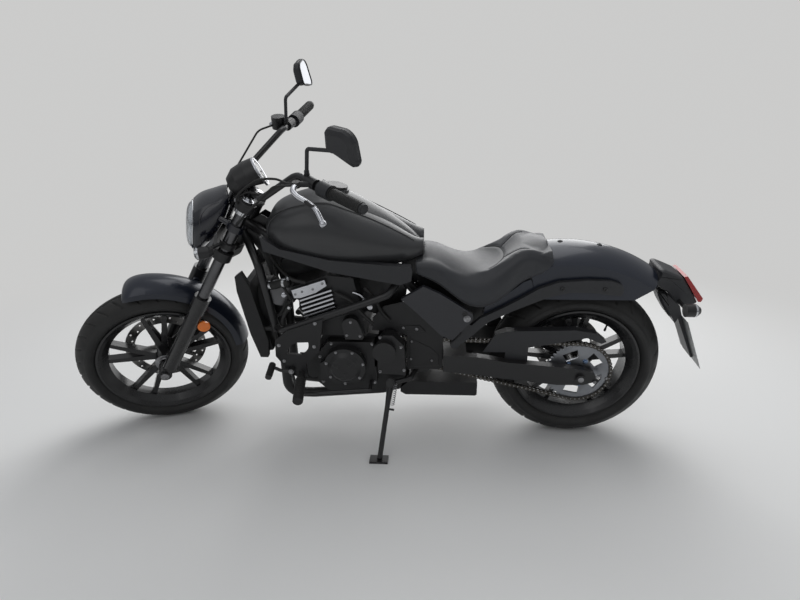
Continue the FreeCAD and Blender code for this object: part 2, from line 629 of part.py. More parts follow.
def fuel_tank():
    """Saddle tank with its filler ring, hinge ears and the feet that stand on the rails."""
    n = cap_axes()[0]
    tunnel = slab([(-400, 690), (-400, 842), (-250, 826), (62, 748), (62, 690)], -113, 113)
    ring = rod(CAP_POS - n * 22, CAP_POS + n * 3, CAP_R + 7)
    h = cap_hinge()
    ears = [rod(h + V(0, y0, 0), h + V(0, y1, 0), 5.5) for y0, y1 in ((-16, -9), (9, 16))]
    feet = [rod(h + V(0, y, 0) - n * 14, h + V(0, y, 0), 3.4) for y in (-12.5, 12.5)]
    pin = rod(h - V(0, 15, 0), h + V(0, 15, 0), 2.5)
    mounts = []
    for s in (-1, 1):
        p, q = sided([RAIL_FRONT, RAIL_REAR], s)
        foot = V(98, s * 86, 690)
        mounts.append(box(foot.x - 15, foot.x + 15, foot.y - 12, foot.y + 12, foot.z, foot.z + 48)
                      .cut(rod(p, q, RAIL_TUBE_R + SEAT_GAP)).cut(rod(p - V(0, 0, 14), q - V(0, 0, 14), RAIL_TUBE_R + 2)))
    shell = fuse([tank_body().cut(tunnel), ring] + ears + feet + [pin])
    return fuse([shell] + [max(m.Solids, key=lambda b: b.BoundBox.ZMax) for m in mounts])


def fuel_cap():
    """Lid on its seat, one knuckle round the hinge pin."""
    n = cap_axes()[0]
    h = cap_hinge()
    lid = rod(CAP_POS + n * (3 + SEAT_GAP), CAP_POS + n * 11, CAP_R)
    knuckle = rod(h - V(0, 8.4, 0), h + V(0, 8.4, 0), 5.5)
    tongue = Part.makeBox(18, 14, 5, V(0, 0, 0))
    tongue.Placement = FreeCAD.Placement(h - V(0, 7, 0) - n * 1.5, FreeCAD.Rotation(V(0, 1, 0), CAP_TILT))
    return fuse([lid, knuckle, tongue]).cut(rod(h - V(0, 20, 0), h + V(0, 20, 0), 2.5 + RUN_FIT))


def frame_covers():
    """Trim strips under the tank, one each side."""
    edge = [(-306, 842), (-244, 800), (-81, 762), (134, 742), (186, 741), (192, 724), (188, 690), (150, 675),
            (-83, 720), (-300, 793)]
    body = tank_body()
    return group([side_slab(edge, s, 129, 156).cut(body) for s in (-1, 1)])


def side_covers():
    """Panels under the seat; the right one stops above the shock."""
    left = about(PIVOT, [(-73, 253), (3, 301), (59, 275), (159, 209), (173, 188, 1), (161, 163), (104, 97), (65, 115),
                         (-20, 203)])
    right = about(PIVOT, [(-73, 253), (3, 301), (59, 275), (159, 209), (167, 191), (105, 183), (37, 191), (-20, 203)])
    y0 = RAIL_OUT + SEAT_GAP
    return group([side_slab(left, -1, y0, y0 + 17), side_slab(right, 1, y0, y0 + 17)])


def seat():
    """Scooped saddle with its raised back."""
    rows = [(198, 700, 118, 722, 127, 742, 92, 752), (232, 684, 120, 716, 130, 745, 84, 764),
            (300, 645, 126, 690, 140, 721, 96, 742), (380, 590, 136, 650, 154, 696, 112, 712),
            (450, 588, 138, 650, 160, 717, 115, 704), (510, 628, 132, 680, 150, 757, 112, 738),
            (565, 674, 122, 722, 136, 787, 106, 778), (625, 700, 118, 738, 125, 778, 96, 791),
            (676, 712, 113, 738, 116, 764, 62, 777), (712, 704, 92, 728, 98, 742, 50, 752)]
    body = skin(upright_sections(rows)).cut(fender_solid(SEAT_GAP, 30, FENDER_START + 0.03))
    tank = tank_body()
    tank.translate(V(SEAT_GAP, 0, 0))
    rear = [s for s in body.cut(tank).Solids if s.BoundBox.XMax > 600]
    return max(max(rear, key=lambda s: s.Volume).cut(rear_rails()).Solids, key=lambda s: s.Volume)


def fender_solid(grow, a0, a1):
    """The mudguard's outside, grown by a gap, as a solid."""
    r, w = FENDER_R + grow, FENDER_W + grow
    return turned([(-w, 300), (-w, r - 46), (0, r, 1), (w, r - 46), (w, 300)], FENDER_C, a0, a1)


def rear_fender():
    """Rear mudguard, an arched shell with deep sides."""
    r, w, t = FENDER_R, FENDER_W, FENDER_T
    pts = [(-w, 330), (-w, r - 46), (0, r, 1), (w, r - 46), (w, 330),
           (w - t, 330), (w - t, r - 46 - t), (0, r - t, 1), (t - w, r - 46 - t), (t - w, 330)]
    shell = turned(pts, FENDER_C, TAIL_ANGLE, FENDER_START)
    fx = FENDER_C[0]
    skirt = slab([(fx - 250, SKIRT_Z), (fx + 225, SKIRT_Z), (fx + 290, SKIRT_Z + 44), (fx + 400, SKIRT_Z + 60),
                  (fx + 400, SKIRT_Z + 300), (fx - 250, SKIRT_Z + 300)], -200, 200)
    return shell.common(skirt)


def tail_point():
    """Upper rear corner of the mudguard, where the tail unit starts."""
    a = math.radians(TAIL_ANGLE)
    return FENDER_C[0] + FENDER_R * math.cos(a), FENDER_C[1] + FENDER_R * math.sin(a)


def lens_edge(grow):
    """Side view of the red lens, its inner side moved in by grow."""
    return about(tail_point(), [(84 - grow, -11 + grow), (95, -8), (162, -91), (158, -104), (148 - grow, -104 - grow)])


def tail_unit():
    """Lamp housing on the end of the mudguard, its top running on from the crown."""
    base = tail_point()
    edge = about(base, [(-18, 10), (12, 18), (38, 7), (86, -16), (148, -101), (134, -116), (100, -126), (78, -112),
                        (36, -68), (-6, -38)])
    body = slab(edge, -TAIL_HALF, TAIL_HALF).cut(fender_solid(SEAT_GAP, TAIL_ANGLE - 0.03, 100))
    body = body.cut(slab(lens_edge(SEAT_GAP), -LENS_HALF - SEAT_GAP, LENS_HALF + SEAT_GAP))
    return max(body.Solids, key=lambda s: s.Volume)


def tail_lens():
    return slab(lens_edge(0), -LENS_HALF, LENS_HALF)


def rear_signals():
    """Stalks and bullet lamps beside the tail."""
    x, z = about(tail_point(), [(80, -98)])[0]
    out = []
    for s in (-1, 1):
        stalk = rod((x, s * (TAIL_HALF + SEAT_GAP), z), (x, s * 120, z), 7)
        lamp = fuse([rod((x - 8, s * 134, z), (x + 26, s * 134, z), 22),
                     taper((x + 25.9, s * 134, z), (x + 40, s * 134, z), 21.5, 12)])
        out.append(fuse([stalk, lamp]))
    return group(out)


def plate_line():
    """Top edge of the number plate and the direction down it."""
    x, z = about(tail_point(), [(112, -168)])[0]
    way = V(86, 0, -203)
    way.normalize()
    return V(x, 0, z), way, V(-way.z, 0, way.x)


def plate_carrier():
    """Bracket from the tail down behind the number plate."""
    top, way = plate_line()[:2]
    low = top + way * (PLATE_H - 20)
    bx, bz = tail_point()
    edge = [(bx + 46, bz - 82), (bx + 98, bz - 128), (top.x, top.z), (low.x, low.z),
            (low.x - 7, low.z - 3), (top.x - 12, top.z - 10), (bx + 92, bz - 196), (bx + 66, bz - 150)]
    return max(slab(edge, -38, 38).cut(tail_room()).Solids, key=lambda s: s.Volume)


def tail_room():
    """The tail unit's space, lowered by a seat gap."""
    shape = tail_unit()
    low = shape.copy()
    low.translate(V(0, 0, -SEAT_GAP))
    return [shape, low]


def number_plate():
    """Blank plate on its carrier."""
    top, way, out = plate_line()
    p = top + out * SEAT_GAP
    q = p + way * PLATE_H
    pts = [p, q, q + out * PLATE_THICK, p + out * PLATE_THICK]
    half = V(0, PLATE_W / 2, 0)
    return Part.Face(Part.makePolygon([v - half for v in pts + pts[:1]])).extrude(half * 2)


def chain_guard():
    """Plate and top flange over the upper run."""
    ax, az = REAR_C
    px, pz = PIVOT
    ridge = [(px + 255, pz + 103), (px + 295, pz + 119), (ax - 28, az + 180), (ax + 42, az + 168), (ax + 80, az + 136)]
    side = [(px + 215, pz + 34)] + ridge + [(ax + 64, az + 128), (ax + 12, az + 150), (ax - 88, az + 128),
                                            (px + 375, pz + 55), (px + 315, pz + 35)]
    face = ARM_Y + SEAT_GAP
    plate = slab(side, -face - 4, -face)
    under = [(ax + 77, az + 133), (ax + 40, az + 164.5), (ax - 28, az + 176.5), (px + 295, pz + 115.5), (px + 258, pz + 101)]
    top = slab(ridge + under, -face - 4, -face + 27)
    foot = slab([(px + 295, pz - 5), (px + 295, pz + 55), (px + 375, pz + 60), (px + 375, pz - 5)], -face - 3, -face)
    return fuse([plate, top, foot]).cut(swingarm())


def rear_caliper():
    """Caliper over the disc and its bracket on the right arm."""
    cx, cz = REAR_C
    face = ARM_Y + ARM_STEP - 0.5
    low = cz + REAR_DISC_R - 39
    body = box(cx - 61, cx + 25, REAR_HUB_RIGHT - 14, face, low, low + 58)
    slot = rod((cx, REAR_HUB_RIGHT - 4, cz), (cx, REAR_HUB_RIGHT + DISC_T + 4, cz), REAR_DISC_R + CLEAR)
    bracket = slab([(cx - 49, cz + 18), (cx - 49, low + 2), (cx + 19, low + 2), (cx + 19, cz + 18)], face - 13, face)
    return fuse([body, bracket]).cut(slot).cut(rod((cx, 60, cz), (cx, face + 10, cz), 26))


def footrests():
    """Bracket plates under the outer tubes with the rider's pegs."""
    y0 = -OUTER_FRONT.y + OUTER_TUBE_R + SEAT_GAP
    out = []
    for s in (-1, 1):
        edge = [(-286, 476), (-240, 515), (-112, 562), (-134, 434), (-186, 384), (-182, 330), (-250, 336), (-262, 372),
                (-290, 414)]
        plate = side_slab(edge, s, y0, y0 + 10)
        hole = side_slab([(-250, 425), (-234, 456, 1), (-208, 470), (-170, 472), (-172, 448, 1), (-200, 420)],
                         s, y0 - 5, y0 + 15)
        peg = rod((-205, s * (y0 + 9), 345), (-194, s * 225, 340), 10)
        rubber = rod((-200, s * 224, 340), (-190, s * 332, 322), 17)
        out.append(fuse([plate.cut(hole), peg, rubber]))
    return group(out)


def foot_controls():
    """Shift lever with its rod on the left, brake pedal on the right."""
    y = -OUTER_FRONT.y + OUTER_TUBE_R + 10 + 2 * SEAT_GAP
    hub = (-236, 362)
    out = []
    for s in (-1, 1):
        lever = bent([(hub[0], s * (y + 10), hub[1]), (-272, s * (y + 12), 362), (-302, s * (y + 22), 385)], 6, 20)
        toe = rod((-302, s * (y + 12), 386), (-300, s * (y + 78), 376), 11)
        parts = [lever, toe, rod((hub[0], s * y, hub[1]), (hub[0], s * (y + 17), hub[1]), 10)]
        if s < 0:
            case = CASE_HALF + 34 + SEAT_GAP
            parts.append(bent([(hub[0], -y - 10, hub[1]), (-222, -y - 10, 262), (40, -y - 10, 288)], 5, 14))
            parts.append(rod((40, -y - 16, 288), (40, -case, 288), 7))
        out.append(fuse(parts))
    return group(out)


# Front end
def yokes():
    """Lower and upper yoke with the stem between them."""
    front, back = -FORK_OFFSET - 24, -FORK_OFFSET + 22
    out = [rod((0, 0, LOWER_YOKE[0]), (0, 0, UPPER_YOKE[1] + TUBE_PROUD), STEM_R)]
    for t0, t1 in (LOWER_YOKE, UPPER_YOKE):
        out.append(rod((0, 0, t0), (0, 0, t1), STEM_R + 15))
        for s in (-1, 1):
            out.append(rod((-FORK_OFFSET, s * FORK_Y, t0), (-FORK_OFFSET, s * FORK_Y, t1), TUBE_R + CLAMP_WALL))
        wire = Part.makePolygon([V(front, -FORK_Y, t0), V(front, FORK_Y, t0), V(back, FORK_Y, t0), V(24, 26, t0),
                                 V(24, -26, t0), V(back, -FORK_Y, t0), V(front, -FORK_Y, t0)])
        out.append(Part.Face(wire).extrude(V(0, 0, t1 - t0)))
    solid = fuse(out)
    for s in (-1, 1):
        solid = solid.cut(tube_line(s, LOWER_YOKE[0] - 50, TUBE_TOP + 50))
    return in_head(solid)


def tube_line(side, t0, t1):
    """The space of one fork tube, in the head frame."""
    return rod((-FORK_OFFSET, side * FORK_Y, t0), (-FORK_OFFSET, side * FORK_Y, t1), TUBE_R)


def stanchions():
    """Two polished fork tubes with their caps."""
    return group([in_head(tube_line(s, SLIDER_TOP, TUBE_TOP)) for s in (-1, 1)])


def axle_in_head():
    return HEAD.inverse().multVec(FRONT_AXLE)


def fork_sliders():
    """Lower fork legs with their axle lugs and dust seals."""
    a = axle_in_head()
    out = []
    for s in (-1, 1):
        y = s * FORK_Y
        leg = taper((-FORK_OFFSET, y, a.z + 16), (-FORK_OFFSET, y, SLIDER_TOP - 70), SLIDER_R - 1, SLIDER_R)
        neck = rod((-FORK_OFFSET, y, SLIDER_TOP - 71), (-FORK_OFFSET, y, SLIDER_TOP), SLIDER_R + 3)
        lug = rod((a.x, y - s * 27, a.z), (a.x, y + s * LUG_OUT, a.z), 25)
        solid = fuse([leg, neck, lug]).cut(rod((a.x, -200, a.z), (a.x, 200, a.z), AXLE_R))
        out.append(in_head(solid))
    return group(out)


def front_axle():
    """Axle pin with its collars and head."""
    x, z = FRONT_AXLE.x, FRONT_AXLE.z
    end = FORK_Y + LUG_OUT
    parts = [rod((x, -end - 6, z), (x, end + 6, z), AXLE_R)]
    for s in (-1, 1):
        parts.append(rod((x, s * (end + SEAT_GAP), z), (x, s * (end + 8), z), 15))
        parts.append(rod((x, s * (FRONT_HUB_HALF + DISC_T + CLEAR), z), (x, s * (FORK_Y - 27 - SEAT_GAP), z), 15))
    return fuse(parts).cut(rod((x, -end - 20, z), (x, end + 20, z), AXLE_BORE_R))


def arch_points(crown, shoulder, low, narrow):
    """Cross section of the front mudguard, its crown, shoulders and edges lowered and its sides drawn in."""
    r, w, t = FRONT_FENDER_R, FRONT_FENDER_W - narrow, FENDER_T
    return [(-w, r - low), (-w, r - shoulder), (0, r - crown, 1), (w, r - shoulder), (w, r - low),
            (w - t, r - low), (w - t, r - shoulder - t), (0, r - crown - t, 1), (t - w, r - shoulder - t), (t - w, r - low)]


def fender_arch(angle, *lowered):
    """That cross section as a wire at an angle round the mudguard's centre."""
    cx, cz = FRONT_FENDER_C
    a = math.radians(angle)
    return outline(arch_points(*lowered), lambda p: V(cx + p[1] * math.cos(a), p[0], cz + p[1] * math.sin(a)))


def front_fender():
    """Front mudguard hugging the tyre, its bosses on the fork legs."""
    w, t = FRONT_FENDER_W, FENDER_T
    nose = [fender_arch(*row) for row in ((84, 0, 30, 52, 0), (91, 5, 32, 53, 0), (96, 18, 36, 54, 3),
                                          (99.5, 38, 46, 56, 10))]
    parts = [turned(arch_points(0, 30, 52, 0), FRONT_FENDER_C, 2, 84), skin(nose)]
    for s in (-1, 1):
        parts.append(in_head(rod((-FORK_OFFSET - 7, s * (w - t), SLIDER_TOP - 45),
                                 (-FORK_OFFSET - 7, s * FORK_Y, SLIDER_TOP - 45), 12)))
    return max(fuse(parts).cut(fork_sliders()).Solids, key=lambda b: b.Volume)


def side_reflectors():
    """Round reflectors behind the fork legs."""
    b, t = -FORK_OFFSET + SLIDER_R, SLIDER_TOP - 112
    out = []
    for s in (-1, 1):
        y = s * FORK_Y
        puck = rod(head_point(b + 16, y + s * 14, t), head_point(b + 16, y + s * 21, t), 22)
        arm = rod(head_point(b - 3, y, t), head_point(b + 14, y + s * 15, t), 5)
        out.append(max(fuse([puck, arm]).cut(fork_sliders()).Solids, key=lambda k: k.Volume))
    return group(out)


LAMP_ROWS = [((-588, 782), (-555, 941), 52, 86, 56), ((-566, 790), (-531, 957), 58, 95, 60),
             ((-520, 824), (-496, 968), 54, 90, 56), ((-470, 880), (-464, 977), 42, 72, 44),
             ((-440, 930), (-440, 981), 26, 48, 28)]


def lamp_section(low, high, half, shift=0.0, k=1.0):
    """One cross section of the lamp, moved forward and shrunk about its middle."""
    base, top = V(low[0] - shift, 0, low[1]), V(high[0] - shift, 0, high[1])
    mid, up = (base + top) / 2, (top - base) * k
    h = up.Length
    yb, yw, ys = [k * y for y in half]
    return section(mid - up / 2, up, yb, yw, h * 0.5, ys, h * 0.93, h)


def headlight_shell():
    """Lamp bucket drawn back and up to the gauge, with its stays round the fork tubes."""
    parts = [skin([lamp_section(low, high, half) for low, high, *half in LAMP_ROWS])]
    t = (LOWER_YOKE[1] + UPPER_YOKE[0]) / 2 + 12
    for s in (-1, 1):
        ring = rod(head_point(-FORK_OFFSET, s * FORK_Y, t - 12), head_point(-FORK_OFFSET, s * FORK_Y, t + 12), 28)
        parts += [ring, rod(head_point(-FORK_OFFSET - 22, s * (FORK_Y - 10), t), V(-490, s * 64, 915), 10)]
    shell = fuse(parts)
    for s in (-1, 1):
        shell = shell.cut(in_head(tube_line(s, t - 60, t + 60)))
    return shell


def headlight_lens():
    """Shallow glass in front of the bucket."""
    low, high, *half = LAMP_ROWS[0]
    return skin([lamp_section(low, high, [y * 0.97 for y in half], shift, k)
                 for shift, k in ((SEAT_GAP + 0.1, 0.92), (14, 0.86), (26, 0.62))])


def gauge():
    """Bowl of the round instrument, notched over the bar, with its neck to the upper yoke."""
    face, n = V(-323, 0, 1025), V(0.907, 0, 0.421)
    side = V(n.z, 0, -n.x)
    edge = [(0, 0), (0, 52), (40, 57), (80, 54), (110, 36), (122, 0)]
    wire = Part.makePolygon([face - n * p[0] + side * p[1] for p in edge + edge[:1]])
    bowl = Part.Face(wire).revolve(face, n, 360).cut(box(-388, -200, -100, 100, 800, 1001))
    yoke = in_head(box(-FORK_OFFSET - 24 - SEAT_GAP, 60, -130, 130, UPPER_YOKE[0] - 20, UPPER_YOKE[1] + SEAT_GAP))
    bowl = bowl.cut(yoke).cut(headlight_shell())
    t0, t1 = UPPER_YOKE[1] + SEAT_GAP, UPPER_YOKE[1] + 36
    neck = in_head(box(-FORK_OFFSET - 24, -FORK_OFFSET - 6, -20, 20, t0, t1))
    return max(fuse([bowl, neck]).Solids, key=lambda b: b.Volume)


BAR_POINTS = [(-355, -88, 985), (-339, -150, 997), (-222, -191, 1086), (-149, -321, 1079), (-80, -445, 1080)]


def bar_tube(grow):
    """The bent bar, its radius grown by a gap."""
    pts = [V(x, -y, z) for x, y, z in reversed(BAR_POINTS)] + [V(*p) for p in BAR_POINTS]
    return bent(pts, BAR_R + grow, 45)


def handlebar():
    """Bar in one piece with its risers on the upper yoke."""
    parts = [bar_tube(0)]
    for s in (-1, 1):
        top = HEAD.inverse().multVec(V(BAR_POINTS[0][0], s * 42, BAR_POINTS[0][2]))
        parts.append(in_head(rod((top.x, top.y, UPPER_YOKE[1] + SEAT_GAP), top, 15)))
    return fuse(parts)


def bar_leg(side, first):
    """Ends and direction of one straight run of the bar, counted from the middle."""
    p, q = sided(BAR_POINTS[first:first + 2], side)
    way = q - p
    way.normalize()
    return p, q, way


def grips():
    out = []
    for side in (-1, 1):
        p, q, way = bar_leg(side, 3)
        tube = rod(p + way * 14, q + way * 2, GRIP_R).cut(rod(p, q + way * SEAT_GAP, BAR_R))
        out.append(fuse([tube, rod(q + way * SEAT_GAP, q + way * 12, 15)]))
    return group(out)


def switches():
    """Switch housings inboard of the grips."""
    out = []
    bar = bar_tube(SEAT_GAP)
    for side in (-1, 1):
        p, _, way = bar_leg(side, 3)
        house = rod(p - way * 34, p + way * (14 - SEAT_GAP), 24)
        out.append(max(house.cut(bar).Solids, key=lambda b: b.Volume))
    return group(out)


def perch(side):
    """Middle of the lever perch on the bar and the bar's direction there."""
    _, knee, way = bar_leg(side, 2)
    return knee - way * 66, way


def levers():
    """Clutch and brake levers with their perches, the brake reservoir on the right one."""
    out = []
    bar = bar_tube(SEAT_GAP)
    for side in (-1, 1):
        root, way = perch(side)
        pivot = V(-234, side * 255, 1084)
        pts = [(-234, -255, 1084), (-250, -285, 1078), (-223, -310, 1058), (-198, -360, 1053), (-185, -400, 1021)]
        lever = bent(sided(pts, side), 6.5, 25)
        tip = V(pts[-1][0], -side * pts[-1][1], pts[-1][2])
        boss = root - way * 32
        parts = [rod(boss, root + way * 12, 18), lever, rod(root, pivot, 9), rod(pivot - V(0, 0, 9), pivot + V(0, 0, 9), 12),
                 Part.makeSphere(10, tip), rod(boss + V(0, 0, 10), boss + V(0, 0, 22), 9)]
        if side > 0:
            cup = root + V(-42, -4, 0)
            parts.append(rod(cup - V(0, 0, 12), cup + V(0, 0, 32), 25))
        out.append(max(fuse(parts).cut(bar).Solids, key=lambda b: b.Volume))
    return group(out)


MIRROR_OUT = {-1: (0.574, -0.819, 0.05), 1: (0.358, 0.933, 0.05)}
MIRROR_EDGE = [(-50, 8), (-29, 50), (-18, 57, 1), (-4, 58), (30, 47), (60, 30, 1), (67, 2), (52, -44), (47, -60, 1),
               (30, -61), (-6, -32), (-30, -15), (-47, -6, 1)]


def mirror_plane(side):
    """Centre, outward, up and forward directions of one mirror head."""
    c = V(-115, side * 345, 1222)
    up = V(-0.30, side * -0.20, 0.93)
    up.normalize()
    out = V(*MIRROR_OUT[side])
    out = out - up * out.dot(up)
    out.normalize()
    return c, out, up, up.cross(out) * side


def mirror_wire(side, k, depth):
    """Outline of one mirror head, shrunk by k, at a depth along its forward direction."""
    c, right, up, fwd = mirror_plane(side)
    return outline(MIRROR_EDGE, lambda p: c + right * (p[0] * k) + up * (p[1] * k) + fwd * depth)


def mirrors():
    """Mirror stalks and shells."""
    out = []
    for side in (-1, 1):
        c, right, up, fwd = mirror_plane(side)
        root, way = perch(side)
        base = root - way * 32 + V(0, 0, 22 + SEAT_GAP)
        ball = c + right * -31 + up * -6
        stalk = bent([base + V(0, 0, 3), V(-190, side * 240, 1184), ball + fwd * 4], 6, 14)
        shell = Part.makeLoft([mirror_wire(side, k, d) for k, d in ((0.98, -14), (1, -4), (0.94, 6), (0.7, 13))], True, True)
        out.append(fuse([stalk, shell, rod(base, base + V(0, 0, 9), 8)]))
    return group(out)


def mirror_glass():
    """Flat mirrors behind the shells."""
    return group([Part.makeLoft([mirror_wire(side, 0.92, d) for d in (-16 - SEAT_GAP, -14 - SEAT_GAP)], True, True)
                  for side in (-1, 1)])


def front_signals():
    """Bullet lamps on clamps round the fork tubes."""
    b, t = -FORK_OFFSET, LOWER_YOKE[1] + 25
    out = []
    for s in (-1, 1):
        ring = rod(head_point(b, s * FORK_Y, t - 10), head_point(b, s * FORK_Y, t + 10), 28)
        tip = V(-545, s * 150, 838)
        arm = rod(head_point(b - 22, s * (FORK_Y + 8), t), tip, 6)
        lamp = fuse([rod(tip + V(16, s * 8, 0), tip + V(-22, s * 8, 0), 20),
                     taper(tip + V(15.9, s * 8, 0), tip + V(30, s * 8, 0), 19.5, 11)])
        out.append(fuse([ring, arm, lamp]).cut(in_head(tube_line(s, t - 30, t + 30))))
    return group(out)


def front_caliper():
    """Twin-piston caliper on the right leg, open over the disc."""
    a = axle_in_head()
    reach = FRONT_DISC_R - 15
    b, t = a.x + reach * 0.483, a.z + reach * 0.876
    cx, cz = FRONT_C
    y = FRONT_HUB_HALF
    body = in_head(box(b - 33, b + 33, y - 14, y + 42, t - 48, t + 48))
    slot = rod((cx, y - 6, cz), (cx, y + DISC_T + CLEAR, cz), FRONT_DISC_R + CLEAR)
    arm = in_head(box(b - 45, b + 5, y + 34, FORK_Y + 6, t - 28, t + 32))
    return max(fuse([body, arm]).cut(slot).cut(fork_sliders()).Solids, key=lambda k: k.Volume)


def control_cables():
    """Clutch cable to the left fork tube, brake hose to the caliper, both held by the front end."""
    tube = in_head(tube_line(-1, LOWER_YOKE[1], UPPER_YOKE[0]))
    clutch = bent([(-236, -262, 1084), (-300, -250, 1084), (-398, -182, 965), (-436, -142, 903),
                   head_point(-FORK_OFFSET, -FORK_Y, UPPER_YOKE[0] - 36)], 3.5, 30)
    a = axle_in_head()
    low = head_point(a.x + 72, FRONT_HUB_HALF + 22, a.z + 150)
    brake = bent([(-236, 262, 1084), (-300, 256, 1070), (-430, 150, 940), (-500, 140, 800), (-552, 136, 640),
                  (-632, 129, 470), low], 3.5, 50)
    lines = [clutch.cut(tube), brake.cut(front_caliper())]
    return group([max(line.cut(levers()).Solids, key=lambda k: k.Volume) for line in lines])


# Placing
def wheel_low(centre, axle, radius, crown):
    return centre.z - (radius - crown) * math.sqrt(1 - axle.z ** 2) - crown


def parked():
    """Placement that leans the machine and sets both tyres on the road."""
    steer = FreeCAD.Placement(V(0, 0, 0), FreeCAD.Rotation(AXIS, STEER), GROUND)

    def heights(pitch):
        m = FreeCAD.Rotation(V(1, 0, 0), LEAN).multiply(FreeCAD.Rotation(V(0, 1, 0), pitch))
        front = wheel_low(m.multVec(steer.multVec(FRONT_AXLE)), m.multVec(steer.Rotation.multVec(V(0, 1, 0))),
                          FRONT_R, FRONT_CROWN)
        rear = wheel_low(m.multVec(REAR_AXLE), m.multVec(V(0, 1, 0)), REAR_R, REAR_CROWN)
        return m, front, rear

    pitch = 0.0
    for _ in range(20):
        m, front, rear = heights(pitch)
        pitch += math.degrees((rear - front) / WHEELBASE)
    m, front, rear = heights(pitch)
    return FreeCAD.Placement(V(0, 0, -rear), m), steer


CHASSIS = {"main_frame": main_frame, "rear_rails": rear_rails, "engine_cases": engine_cases,
           "cylinder_block": cylinder_block, "engine_covers": engine_covers, "radiator": radiator,
           "exhaust": exhaust, "fuel_tank": fuel_tank, "frame_covers": frame_covers,
           "side_covers": side_covers, "seat": seat, "rear_fender": rear_fender, "tail_unit": tail_unit,
           "tail_lens": tail_lens, "rear_signals": rear_signals, "plate_carrier": plate_carrier,
           "number_plate": number_plate, "swingarm": swingarm, "shock": shock, "chain": chain,
           "chain_guard": chain_guard, "rear_caliper": rear_caliper, "footrests": footrests,
           "foot_controls": foot_controls}
STEERING = {"yokes": yokes, "stanchions": stanchions, "fork_sliders": fork_sliders, "front_axle": front_axle,
            "front_fender": front_fender, "side_reflectors": side_reflectors,
            "headlight_shell": headlight_shell, "headlight_lens": headlight_lens, "gauge": gauge,
            "handlebar": handlebar, "grips": grips, "switches": switches, "levers": levers,
            "mirrors": mirrors, "mirror_glass": mirror_glass, "front_signals": front_signals,
            "front_caliper": front_caliper, "control_cables": control_cables}
FRONT_WHEEL = {"front_tyre": lambda: tyre(FRONT_R, FRONT_CROWN, FRONT_BEAD, FRONT_RIM_HALF, FRONT_C),
               "front_rim": lambda: rim(FRONT_BEAD, FRONT_RIM_HALF, FRONT_WELL,
                                        (-FRONT_HUB_HALF, FRONT_HUB_HALF - SEAT_GAP, FRONT_HUB_R), FRONT_C, 15, 0.19),
               "front_disc": front_disc}
REAR_WHEEL = {"rear_tyre": lambda: tyre(REAR_R, REAR_CROWN, REAR_BEAD, REAR_RIM_HALF, REAR_C),
              "rear_rim": lambda: rim(REAR_BEAD, REAR_RIM_HALF, REAR_WELL,
                                      (REAR_HUB_LEFT, REAR_HUB_RIGHT - SEAT_GAP, REAR_HUB_R), REAR_C, 17, 0.19),
              "rear_sprocket": rear_sprocket, "rear_disc": rear_disc}
SIDE_STAND = {"side_stand": None}
FUEL_CAP = {"fuel_cap": fuel_cap}


def build():
    """Every node in its parked place, and the placements used."""
    park, steer = parked()
    up = park.Rotation.inverted().multVec(V(0, 0, 1))
    touch = park.inverse().multVec(V(0, 0, 0))
    front = park.multiply(steer)
    placed = {}
    for nodes, place in ((CHASSIS, park), (STEERING, front), (FRONT_WHEEL, front), (REAR_WHEEL, park),
                         (FUEL_CAP, park)):
        for name, make in nodes.items():
            shape = make()
            shape.Placement = place.multiply(shape.Placement)
            placed[name] = shape
    stand = side_stand((touch, up))
    stand.Placement = park.multiply(stand.Placement)
    placed["side_stand"] = stand
    low, high = V(1e9, 1e9, 1e9), V(-1e9, -1e9, -1e9)
    for shape in placed.values():
        b = shape.optimalBoundingBox(False, False)
        low = V(min(low.x, b.XMin), min(low.y, b.YMin), min(low.z, b.ZMin))
        high = V(max(high.x, b.XMax), max(high.y, b.YMax), max(high.z, b.ZMax))
    shift = FreeCAD.Placement(V(-(low.x + high.x) / 2, -(low.y + high.y) / 2, -low.z), FreeCAD.Rotation())
    for name, shape in placed.items():
        shape.Placement = shift.multiply(shape.Placement)
    return placed, shift.multiply(park), shift.multiply(front)


def main():
    os.makedirs("parts", exist_ok=True)
    placed = build()[0]
    for name, shape in placed.items():
        shape.exportStep("parts/%s.step" % name)


if __name__ == "__main__":
    main()
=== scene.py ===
"""Looks of a cruiser motorcycle leaning on its side stand: finishes, trim, saddle, lights and camera."""
from __future__ import annotations

import json
import logging
import math
from collections.abc import Sequence
from dataclasses import dataclass, field
from enum import Enum
from functools import cached_property

import bmesh
import bpy
import numpy as np
from mathutils import Matrix, Vector

